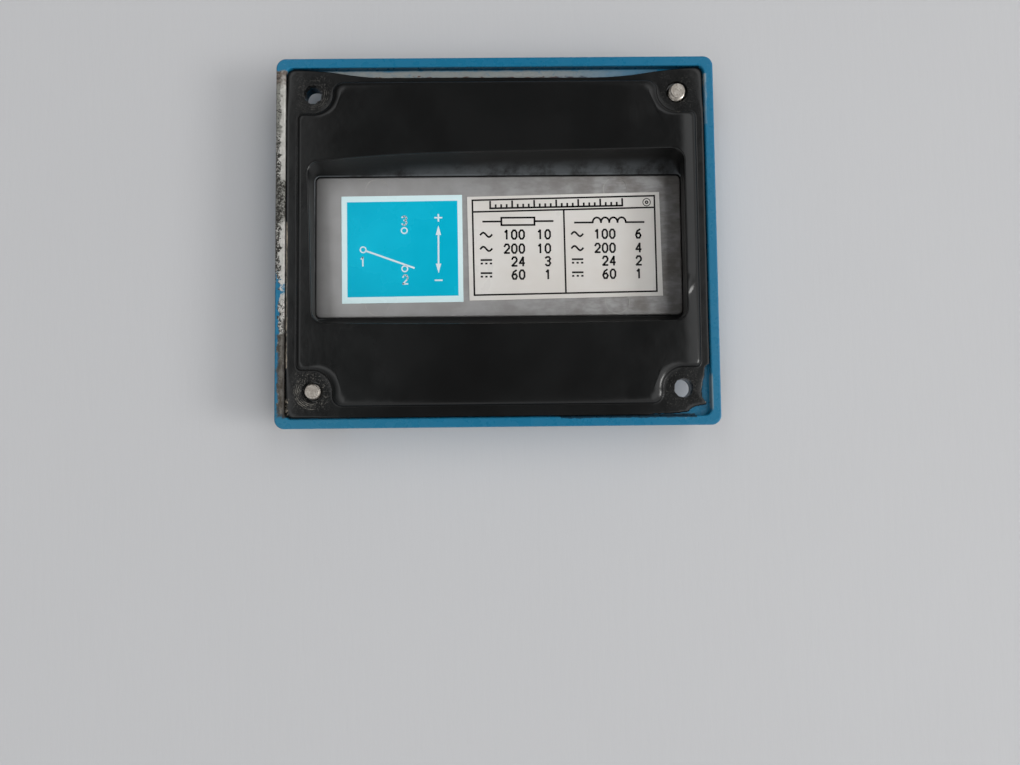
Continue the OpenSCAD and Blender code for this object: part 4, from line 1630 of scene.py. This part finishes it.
            low_r, high_r, mouth = self.torn_hole
            lathe(shape, (right * self.screw_x, top * self.screw_y),
                  ((low_r, self.seat_z - 1), (low_r, self.seat_z + 0.6), (high_r, self.tab_z - 0.1),
                   (mouth, self.tab_z + 1)), 72, torn)
            cutters.append(new_piece("torn_hole", shape, finish))
        return cutters


DIGIT_STROKES: dict[str, tuple[tuple[Pair, ...], ...]] = {
    "0": (((0.3, 0), (0.7, 0), (1, 0.25), (1, 0.75), (0.7, 1), (0.3, 1), (0, 0.75), (0, 0.25), (0.3, 0)),),
    "1": (((0.15, 0.8), (0.5, 1), (0.5, 0)),),
    "2": (((0, 0.76), (0.25, 1), (0.75, 1), (1, 0.76), (0.95, 0.55), (0, 0), (1, 0)),),
    "3": (((0, 0.88), (0.3, 1), (0.7, 1), (0.97, 0.78), (0.7, 0.54), (0.4, 0.54)),
          ((0.7, 0.54), (1, 0.28), (0.7, 0), (0.3, 0), (0, 0.14))),
    "4": (((0.75, 0), (0.75, 1), (0, 0.3), (1, 0.3)),),
    "6": (((0.85, 1), (0.3, 0.8), (0, 0.35), (0.25, 0), (0.75, 0), (1, 0.3), (0.7, 0.58), (0.1, 0.45)),),
}


@dataclass
class PrintLayer:
    """Flat ink shapes on one label, gathered into one piece."""

    name: str
    low_z: float
    ink_t: float = 0.02
    line: float = 0.26
    shape: Shape = field(default_factory=bmesh.new)

    def bar(self, start: Pair, end: Pair, width: float | None = None) -> None:
        """Print a straight line.

        Args:
            start: One end of its middle line.
            end: Other end of its middle line.
            width: Width of the line.
        """
        along = Vector((end[0] - start[0], end[1] - start[1])).normalized()
        side = Vector((-along.y, along.x)) * (width or self.line) / 2
        first, last = Vector(start), Vector(end)
        outline = [tuple(first - side), tuple(last - side), tuple(last + side), tuple(first + side)]
        prism(self.shape, outline, self.low_z, self.low_z + self.ink_t)

    def ring(self, centre: Pair, radius: float, width: float) -> None:
        """Print a circle as a line.

        Args:
            centre: Middle of the circle.
            radius: Radius of its middle line.
            width: Width of the line.
        """
        half, steps = width / 2, 40
        rings = []
        for reach, height in ((radius - half, 0.0), (radius + half, 0.0), (radius + half, self.ink_t),
                              (radius - half, self.ink_t)):
            rings.append([turned(centre, reach, 2 * math.pi * k / steps, self.low_z + height)
                          for k in range(steps)])
        closed_skin(self.shape, rings, looped=True)

    def field_shape(self, outline: Sequence[Pair]) -> None:
        """Print a filled field with the given corners."""
        prism(self.shape, outline, self.low_z, self.low_z + self.ink_t)

    def frame_lines(self, corners: Sequence[Pair]) -> None:
        """Print a line round the given corners.

        Args:
            corners: Corners of its middle line, in order.
        """
        for k, start in enumerate(corners):
            end = corners[(k + 1) % len(corners)]
            along = Vector((end[0] - start[0], end[1] - start[1])).normalized() * self.line / 2
            self.bar(tuple(Vector(start) - along), tuple(Vector(end) + along))

    def stroke(self, points: Sequence[Pair]) -> None:
        """Print a bent line through points.

        Args:
            points: Points of its middle line.
        """
        half = self.line * 0.3
        for start, end in zip(points, points[1:]):
            along = (Vector(end) - Vector(start)).normalized() * half
            self.bar(tuple(Vector(start) - along), tuple(Vector(end) + along))

    def number(self, digits: str, low: Pair, height: float, lean: float = 0.0) -> None:
        """Print a plain number.

        Args:
            digits: Digits to print. A space leaves a gap.
            low: Lower left corner of the number.
            height: Height of its digits.
            lean: Turn of the number, in radians.
        """
        along = Vector((math.cos(lean), math.sin(lean)))
        rise = Vector((-along.y, along.x)) * height
        wide = along * height * 0.55
        for k, digit in enumerate(digits):
            corner = Vector(low) + along * height * 0.86 * k
            for line in DIGIT_STROKES.get(digit, ()):
                self.stroke([tuple(corner + wide * x + rise * y) for x, y in line])

    def wave(self, middle: Pair, length: float, height: float) -> None:
        """Print a wavy line, the sign for alternating current.

        Args:
            middle: Middle of the line.
            length: Length of the line.
            height: Height from its lowest to its highest point.
        """
        steps = 16
        self.stroke([(middle[0] + length * (k / steps - 0.5),
                      middle[1] + height / 2 * math.sin(2 * math.pi * k / steps))
                     for k in range(steps + 1)])

    def direct(self, middle: Pair, length: float) -> None:
        """Print a line over three dashes, the sign for direct current.

        Args:
            middle: Middle of the sign.
            length: Length of its line.
        """
        x, y = middle
        self.bar((x - length / 2, y + 0.45), (x + length / 2, y + 0.45))
        dash = length / 5
        for k in (-1, 0, 1):
            self.bar((x + (2 * k - 0.5) * dash, y - 0.45), (x + (2 * k + 0.5) * dash, y - 0.45))

    def done(self, finish: Material, body: str) -> None:
        """Turn the layer into a piece.

        Args:
            finish: Material of the ink.
            body: Body that carries the label.
        """
        piece = new_piece(self.name, self.shape, finish, 30.0)
        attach(piece, body)


@dataclass
class WiringLabel:
    """Label with a cyan field that shows one changeover contact and its direction of travel."""

    body: str = "cover"
    top_z: float = 5.95
    field_low: Pair = (-37.84, -12.6)
    field_high: Pair = (-9.86, 11.7)
    turn: float = 0.4
    pivot: Pair = (-33.83, -0.61)
    contacts: tuple[Pair, ...] = ((-23.42, 4.22), (-23.32, -5.54))
    contact_r: float = 0.72
    arm_start: Pair = (-33.07, -0.92)
    arm_end: Pair = (-20.85, -5.4)
    arrow_x: float = -14.78
    arrow_low: float = -6.76
    arrow_high: float = 5.48
    head: Pair = (0.68, 2.45)
    plus_y: float = 7.45
    minus_y: float = -8.55
    sign_half: float = 1.0
    terminals: tuple[tuple[str, float, float], ...] = (
        ("1", -34.5, -4.75), ("2", -23.8, -9.4), ("3", -24.0, 5.65))
    digit_h: float = 2.2

    def build(self, film: Material, cyan: Material, white: Material) -> None:
        """Dress the film and print on it.

        Args:
            film: Material of the film.
            cyan: Material of the field.
            white: Material of the lines.
        """
        dress("wiring_label", film)
        ground = PrintLayer("wiring_field", self.top_z)
        (x0, y0), (x1, y1) = self.field_low, self.field_high
        middle = Vector(((x0 + x1) / 2, (y0 + y1) / 2))
        angle = math.radians(self.turn)
        corners = []
        for x, y in ((x0, y0), (x1, y0), (x1, y1), (x0, y1)):
            reach = Vector((x, y)) - middle
            corners.append((middle.x + reach.x * math.cos(angle) - reach.y * math.sin(angle),
                            middle.y + reach.x * math.sin(angle) + reach.y * math.cos(angle)))
        ground.field_shape(corners)
        ground.done(cyan, self.body)
        lines = PrintLayer("wiring_lines", self.top_z + ground.ink_t, line=0.38)
        self._symbol(lines)
        self._signs(lines)
        lines.done(white, self.body)

    def _symbol(self, lines: PrintLayer) -> None:
        """Print the contact's pivot, its two poles, its arm and the double arrow.

        Args:
            lines: Layer that takes the print.
        """
        for centre in (self.pivot, *self.contacts):
            lines.ring(centre, self.contact_r, 0.34)
        lines.bar(self.arm_start, self.arm_end, 0.46)
        reach, length = self.head
        lines.bar((self.arrow_x, self.arrow_low + length), (self.arrow_x, self.arrow_high - length), 0.42)
        for tip, base in ((self.arrow_high, self.arrow_high - length),
                          (self.arrow_low, self.arrow_low + length)):
            outline = [(self.arrow_x - reach, base), (self.arrow_x + reach, base), (self.arrow_x, tip)]
            lines.field_shape(outline if tip > base else outline[::-1])

    def _signs(self, lines: PrintLayer) -> None:
        """Print a plus and a minus at the arrow's ends, and a plain number at each terminal.

        Args:
            lines: Layer that takes the print.
        """
        x, y, half, gap = self.arrow_x, self.plus_y, self.sign_half, lines.line / 2
        lines.bar((x - half, y), (x - gap, y))
        lines.bar((x + gap, y), (x + half, y))
        lines.bar((x, y - half), (x, y + half))
        lines.bar((x - half, self.minus_y), (x + half, self.minus_y))
        for digit, left, foot in self.terminals:
            lines.number(digit, (left, foot), self.digit_h)


@dataclass
class RatingLabel:
    """Label with a ruled table in two columns."""

    body: str = "cover"
    top_z: float = 5.95
    frame_corners: tuple[Pair, ...] = (
        (-5.77, -12.43), (40.35, -11.84), (40.18, 12.66), (-6.13, 11.86))
    header_depth: float = 3.0
    divider_share: float = 0.501
    row_heights: tuple[float, ...] = (1.85, -1.75, -5.05, -8.4)
    digit_h: float = 2.2
    scale_start: Pair = (-1.6, 9.75)
    scale_length: float = 33.6
    scale_ticks: int = 24
    dot_place: Pair = (38.2, 11.0)
    resistor_place: Pair = (5.4, 6.35)
    resistor_size: Pair = (8.4, 1.9)
    coil_place: Pair = (28.6, 5.9)
    coil_turns: int = 4
    coil_turn_r: float = 1.05
    lead: float = 4.6
    sign_x: Pair = (-2.7, 20.4)
    first_end: Pair = (7.6, 30.6)
    second_end: Pair = (14.2, 37.2)
    first_numbers: tuple[str, ...] = ("100", "200", "24", "60")
    second_numbers: tuple[tuple[str, str], ...] = (("10", "6"), ("10", "4"), ("3", "2"), ("1", "1"))

    def build(self, film: Material, ink: Material) -> None:
        """Dress the film and print on it.

        Args:
            film: Material of the film.
            ink: Material of the table.
        """
        dress("rating_label", film)
        lines = PrintLayer("rating_lines", self.top_z, line=0.42)
        lines.frame_lines(self.frame_corners)
        low_left, low_right, high_right, high_left = (Vector(corner) for corner in self.frame_corners)
        drop = Vector((0, self.header_depth))
        half = lines.line / 2
        under_left, under_right = high_left - drop, high_right - drop
        lines.bar((under_left.x + half, under_left.y), (under_right.x - half, under_right.y))
        top = under_left.lerp(under_right, self.divider_share)
        bottom = low_left.lerp(low_right, self.divider_share)
        lines.bar((bottom.x, bottom.y + half), (top.x, top.y - half))
        lean = math.atan2(low_right.y - low_left.y, low_right.x - low_left.x)
        lines.line = 0.46
        self._header(lines, lean)
        self._loads(lines)
        for number, height in enumerate(self.row_heights):
            self._row(lines, number, height)
        lines.done(ink, self.body)

    def _header(self, lines: PrintLayer, lean: float) -> None:
        """Print a plain graduated scale and a ringed dot in the header.

        Args:
            lines: Layer that takes the print.
            lean: Turn of the header, in radians.
        """
        start, length, ticks = Vector(self.scale_start), self.scale_length, self.scale_ticks
        along = Vector((math.cos(lean), math.sin(lean)))
        rise = Vector((-along.y, along.x))
        for k in range(ticks + 1):
            foot = start + along * (length * k / ticks)
            tall = 1.9 if k % 4 == 0 else 1.0
            lines.bar(tuple(foot + rise * 0.16), tuple(foot + rise * tall))
        half = along * lines.line / 2
        lines.bar(tuple(start - half), tuple(start + along * length + half))
        lines.ring(self.dot_place, 0.95, 0.2)
        lines.ring(self.dot_place, 0.3, 0.3)

    def _loads(self, lines: PrintLayer) -> None:
        """Print the sign of a resistor and the sign of a coil over the two columns.

        Args:
            lines: Layer that takes the print.
        """
        (x, y), (box_w, box_h) = self.resistor_place, self.resistor_size
        lines.frame_lines([(x + right * box_w / 2, y + top * box_h / 2)
                           for right, top in ((-1, -1), (1, -1), (1, 1), (-1, 1))])
        edge = box_w / 2 + lines.line / 2
        lines.bar((x - edge - self.lead, y), (x - edge, y))
        lines.bar((x + edge, y), (x + edge + self.lead, y))
        turns, turn_r, steps = self.coil_turns, self.coil_turn_r, 10
        x, y = self.coil_place
        start = x - turns * turn_r
        points = [(start - self.lead, y)]
        for turn in range(turns):
            centre = start + (2 * turn + 1) * turn_r
            points += [(centre - turn_r * math.cos(math.pi * k / steps),
                        y + 1.2 * turn_r * math.sin(math.pi * k / steps)) for k in range(steps + 1)]
        points.append((x + turns * turn_r + self.lead, y))
        clean = [points[0]]
        clean += [here for before, here in zip(points, points[1:]) if math.dist(before, here) > 1e-4]
        lines.stroke(clean)

    def _row(self, lines: PrintLayer, number: int, height: float) -> None:
        """Print one row of the table.

        Args:
            lines: Layer that takes the print.
            number: Number of the row from the top.
            height: Height of the foot of its digits.
        """
        step = self.digit_h * 0.86
        for column in (0, 1):
            middle = (self.sign_x[column], height + self.digit_h * 0.5)
            if number < 2:
                lines.wave(middle, 2.9, 1.1)
            else:
                lines.direct(middle, 2.9)
            first = self.first_numbers[number]
            second = self.second_numbers[number][column]
            lines.number(first, (self.first_end[column] - step * len(first), height), self.digit_h)
            lines.number(second, (self.second_end[column] - step * len(second), height), self.digit_h)


def dress(node: str, finish: Material) -> None:
    """Give one of the frame's own parts its finish.

    Args:
        node: Name of the part.
        finish: Material to set on it.
    """
    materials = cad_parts[node].data.materials
    materials.clear()
    materials.append(finish)
    LOG.info("dressed %s", node)


@dataclass
class CapturedScrew:
    """Cross-recessed pan head screw with a spring washer and a plain washer."""

    place: str
    turn: float
    pitch: float = 0.7
    tip_r: float = 1.82
    tip_h: float = 0.55
    root_r: float = 1.57
    recess_w: float = 4.0
    arm_w: float = 0.9
    recess_depth: float = 1.5
    head_h: float = 2.6
    neck_r: float = 2.15
    shank_r: float = 2.0
    relief_r: float = 1.44
    washer_r: float = 2.08
    washer_t: float = 1.0
    washer_rise: float = 0.6
    washer_split: float = 14.0
    washer_soft: float = 0.12

    def build(self, steel: Material, washer_steel: Material) -> None:
        """Build the screw and its spring washer, and dress the plain washer.

        Args:
            steel: Material of the screw.
            washer_steel: Material of the washers.
        """
        self._screw(steel)
        self._spring_washer(washer_steel)
        dress(f"plain_washer_{self.place}", washer_steel)

    def _screw(self, steel: Material) -> None:
        """Build the threaded screw in place of the frame's plain one.

        Args:
            steel: Material of the screw.
        """
        low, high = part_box(f"screw_{self.place}")
        centre = ((low.x + high.x) / 2 / MM, (low.y + high.y) / 2 / MM)
        bottom, top = low.z / MM, high.z / MM
        head_r = (high.x - low.x) / 2 / MM
        side_h = 0.55 * self.head_h
        under = bottom + self.head_h
        profile = [(0.02, bottom)]
        for k in range(1, 13):
            radius = (head_r - 0.1) * k / 12
            profile.append((radius, bottom + (self.head_h - side_h) * (radius / head_r) ** 2.2))
        profile += [(head_r, under - side_h + 0.12), (head_r, under - 0.16),
                    (head_r - 0.16, under), (self.neck_r, under)]
        run_out = top - self.tip_h
        steps = round((run_out - under) / self.pitch * 12)
        for k in range(1, steps + 1):
            profile.append((self.shank_r, under + (run_out - under) * k / steps))
        profile += [(self.relief_r, run_out + 0.05), (self.relief_r, run_out + 0.2),
                    (self.tip_r, run_out + 0.28), (self.tip_r, top - 0.16), (self.tip_r - 0.16, top),
                    (0.8, top - 0.01), (0.02, top)]

        def thread(radius: float, height: float, angle: float) -> float:
            """Cut the thread into the shank, run out at the tip.

            Args:
                radius: Radius without the thread.
                height: Height on the axis.
                angle: Direction from the axis.

            Returns:
                The radius with the thread.
            """
            if abs(radius - self.shank_r) > 1e-6:
                return radius
            phase = ((height - under) / self.pitch - (angle + self.turn) / (2 * math.pi)) % 1
            tooth = min(1.0, abs(phase - 0.5) * 2.6)
            lead = min(1.0, max(0.0, (run_out - height) / 0.2))
            crest = 1.8 + 0.2 * lead
            return self.root_r + (crest - self.root_r) * (1 - tooth ** 1.2)

        shape = bmesh.new()
        lathe(shape, centre, profile, 48, thread)
        piece = new_piece(f"threaded_screw_{self.place}", shape, steel, 32.0)
        carve(piece, [self._recess_cutter(centre, bottom, steel)], 32.0)
        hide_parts(f"screw_{self.place}")
        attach(piece, f"screw_{self.place}")

    def _recess_cutter(self, centre: Pair, bottom: float, finish: Material) -> Piece:
        """Make the tapered cross that opens the drive recess.

        Args:
            centre: Place of the screw's axis.
            bottom: Height of the head's end.
            finish: Material for the cut faces.

        Returns:
            The cutter.
        """
        shape = bmesh.new()
        rings = []
        for height, share in ((bottom - 0.5, 1.0), (bottom + 0.35, 1.0), (bottom + self.recess_depth, 0.45)):
            reach, arm = self.recess_w / 2 * share, self.arm_w / 2 * (0.6 + 0.4 * share)
            ring = []
            for k in range(4):
                for across, along in ((reach, -arm), (reach, arm), (arm, arm)):
                    angle = math.pi / 2 * k + math.radians(12) + self.turn
                    ring.append(Vector((centre[0] + across * math.cos(angle) - along * math.sin(angle),
                                        centre[1] + across * math.sin(angle) + along * math.cos(angle),
                                        height)))
            rings.append(ring)
        closed_skin(shape, rings, looped=False)
        return new_piece("recess", shape, finish)

    def _spring_washer(self, steel: Material) -> None:
        """Build the split spring washer with slightly rounded edges.

        Args:
            steel: Material of the washer.
        """
        low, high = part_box(f"spring_washer_{self.place}")
        centre = Vector(((low.x + high.x) / 2 / MM, (low.y + high.y) / 2 / MM, 0))
        outer = (high.x - low.x) / 2 / MM
        inner, thick, rise = self.washer_r, self.washer_t, self.washer_rise
        split, soft = self.washer_split, self.washer_soft
        section = [(inner + soft, 0.0), (outer - soft, 0.0), (outer, soft), (outer, thick - soft),
                   (outer - soft, thick), (inner + soft, thick), (inner, thick - soft), (inner, soft)]
        steps = 72
        rings = []
        for k in range(steps + 1):
            angle = math.radians(split / 2 + (360 - split) * k / steps)
            lift = low.z / MM + rise * k / steps
            rings.append([centre + Vector((radius * math.cos(angle), radius * math.sin(angle),
                                           lift + height)) for radius, height in section])
        shape = bmesh.new()
        closed_skin(shape, rings, looped=False)
        piece = new_piece(f"split_washer_{self.place}", shape, steel, 30.0)
        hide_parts(f"spring_washer_{self.place}")
        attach(piece, f"washers_{self.place}")


@dataclass
class Studio:
    """Pale floor, soft daylight from the right and the photograph's camera."""

    floor_half: float = 900.0
    floor_corner: float = 60.0
    floor_t: float = 3.0
    camera_mm: Triple = (1.544, -45.293, 197.77)
    camera_turn: Triple = (0.0558, -0.0068, -0.0105)
    focal_px: float = 766.0
    image_w: float = 1020.0
    sensor_w: float = 36.0
    window_elevation: float = 30.0
    window_azimuth: float = -12.0
    window_distance: float = 2.4
    window_size: Pair = (0.85, 0.6)
    window_radiance: float = 13.0
    low_levels: Pair = (0.05, 0.9)
    bright_side: Pair = (0.8, -0.6)
    high_level: float = 1.95
    left_share: float = 0.35
    overhead_level: float = 0.1
    overhead_reach: Pair = (0.27, 2.0)
    overhead_shift: float = 0.25

    def build(self) -> None:
        """Set the whole stage."""
        self._floor()
        self._window_light()
        self._sky()
        self._camera()
        bpy.context.scene.view_settings.view_transform = "Standard"

    def _floor(self) -> None:
        """Lay the floor sheet."""
        shape = bmesh.new()
        half, corner = self.floor_half, self.floor_corner
        outline = []
        for k in range(32):
            angle = math.pi / 2 * (k % 8) / 7 + math.pi / 2 * (k // 8)
            sign_x, sign_y = ((1, 1), (-1, 1), (-1, -1), (1, -1))[k // 8]
            outline.append((sign_x * (half - corner) + corner * math.cos(angle),
                            sign_y * (half - corner) + corner * math.sin(angle)))
        prism(shape, outline, -self.floor_t, 0.0)
        floor = new_piece("floor_mat", shape, PaleMat("pale_mat").material())

    def _window_light(self) -> None:
        """Hang the broad soft light that stands for the window on the right."""
        width, height = self.window_size
        light = bpy.data.lights.new("window_light", "AREA")
        light.shape = "RECTANGLE"
        light.size = width
        light.size_y = height
        light.energy = self.window_radiance * math.pi * width * height
        light.color = (1.0, 0.99, 0.97)
        lamp = bpy.data.objects.new("window_light", light)
        bpy.context.collection.objects.link(lamp)
        rise, round_by = math.radians(self.window_elevation), math.radians(self.window_azimuth)
        towards = Vector((math.cos(rise) * math.cos(round_by), math.cos(rise) * math.sin(round_by),
                          math.sin(rise)))
        lamp.location = towards * self.window_distance
        lamp.rotation_euler = towards.to_track_quat("Z", "Y").to_euler()

    def _sky(self) -> None:
        """Surround the scene with a room: bright high up, dim low on the far side and straight overhead."""
        world = bpy.data.worlds.new("room")
        bpy.context.scene.world = world
        world.use_nodes = True
        sheet = NodeSheet(world.node_tree)
        background = world.node_tree.nodes["Background"]
        direction = sheet.add("ShaderNodeTexCoord").outputs["Generated"]
        x, y, z = sheet.axes(direction)
        towards = sheet.plus(sheet.times(x, self.bright_side[0]), sheet.times(y, self.bright_side[1]))
        low = sheet.remap(towards, -1.0, 1.0, *self.low_levels)
        high = sheet.times(sheet.remap(x, -0.65, -0.3, self.left_share, 1.0), self.high_level)
        room = sheet.blend(sheet.remap(z, 0.45, 0.85), low, high)
        up = sheet.either(z, 0.01)
        reach_x, reach_y = self.overhead_reach
        across = sheet.math("DIVIDE", x, sheet.times(up, reach_x))
        shifted = sheet.minus(y, sheet.times(up, self.overhead_shift))
        along = sheet.math("DIVIDE", shifted, sheet.times(up, reach_y))
        square = sheet.plus(sheet.times(across, across), sheet.times(along, along))
        open_sky = sheet.remap(square, 0.7, 2.0)
        level = sheet.blend(open_sky, self.overhead_level, room)
        tint = sheet.add("ShaderNodeCombineColor")
        for socket, share in zip(tint.inputs, (0.985, 0.995, 1.0)):
            sheet.feed(socket, sheet.times(level, share))
        sheet.feed(background.inputs["Color"], tint.outputs[0])

    def _camera(self) -> None:
        """Stand the camera where the photograph was taken from."""
        lens = bpy.data.cameras.new("camera")
        lens.sensor_fit = "HORIZONTAL"
        lens.sensor_width = self.sensor_w
        lens.lens = self.focal_px / self.image_w * self.sensor_w
        lens.clip_start = 0.01
        camera = bpy.data.objects.new("camera", lens)
        bpy.context.collection.objects.link(camera)
        camera.location = Vector(self.camera_mm) * MM
        camera.rotation_euler = self.camera_turn
        bpy.context.scene.camera = camera


def main() -> None:
    logging.basicConfig(level=logging.INFO, format="%(name)s: %(message)s")
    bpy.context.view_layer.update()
    Studio().build()
    LOG.info("studio set")
    dress("cover_casting", PaintedCasting("blue_paint").material())
    Liner().build(MouldedRubber("black_rubber").material())
    LOG.info("liner built")
    white_film = LabelFilm("white_label_film").material()
    pale_film = LabelFilm("pale_label_film", srgb(222, 247, 250), srgb(212, 236, 240)).material()
    cyan_ink = Ink("cyan_ink", srgb(0, 178, 210), srgb(4, 194, 225)).material()
    white_ink = Ink("white_ink", srgb(226, 236, 240), srgb(206, 226, 234)).material()
    black_ink = Ink("black_ink", srgb(16, 15, 15), srgb(34, 33, 32)).material()
    WiringLabel().build(pale_film, cyan_ink, white_ink)
    LOG.info("wiring label printed")
    RatingLabel().build(white_film, black_ink)
    LOG.info("rating label printed")
    screw_steel = PlatedSteel("screw_steel", tarnished=0.8).material()
    washer_steel = PlatedSteel("washer_steel", tarnished=0.35).material()
    for place, turn in (("top_right", 0.4), ("bottom_left", 1.9)):
        CapturedScrew(place, turn).build(screw_steel, washer_steel)
        LOG.info("screw %s built", place)


if __name__ == "__main__":
    main()
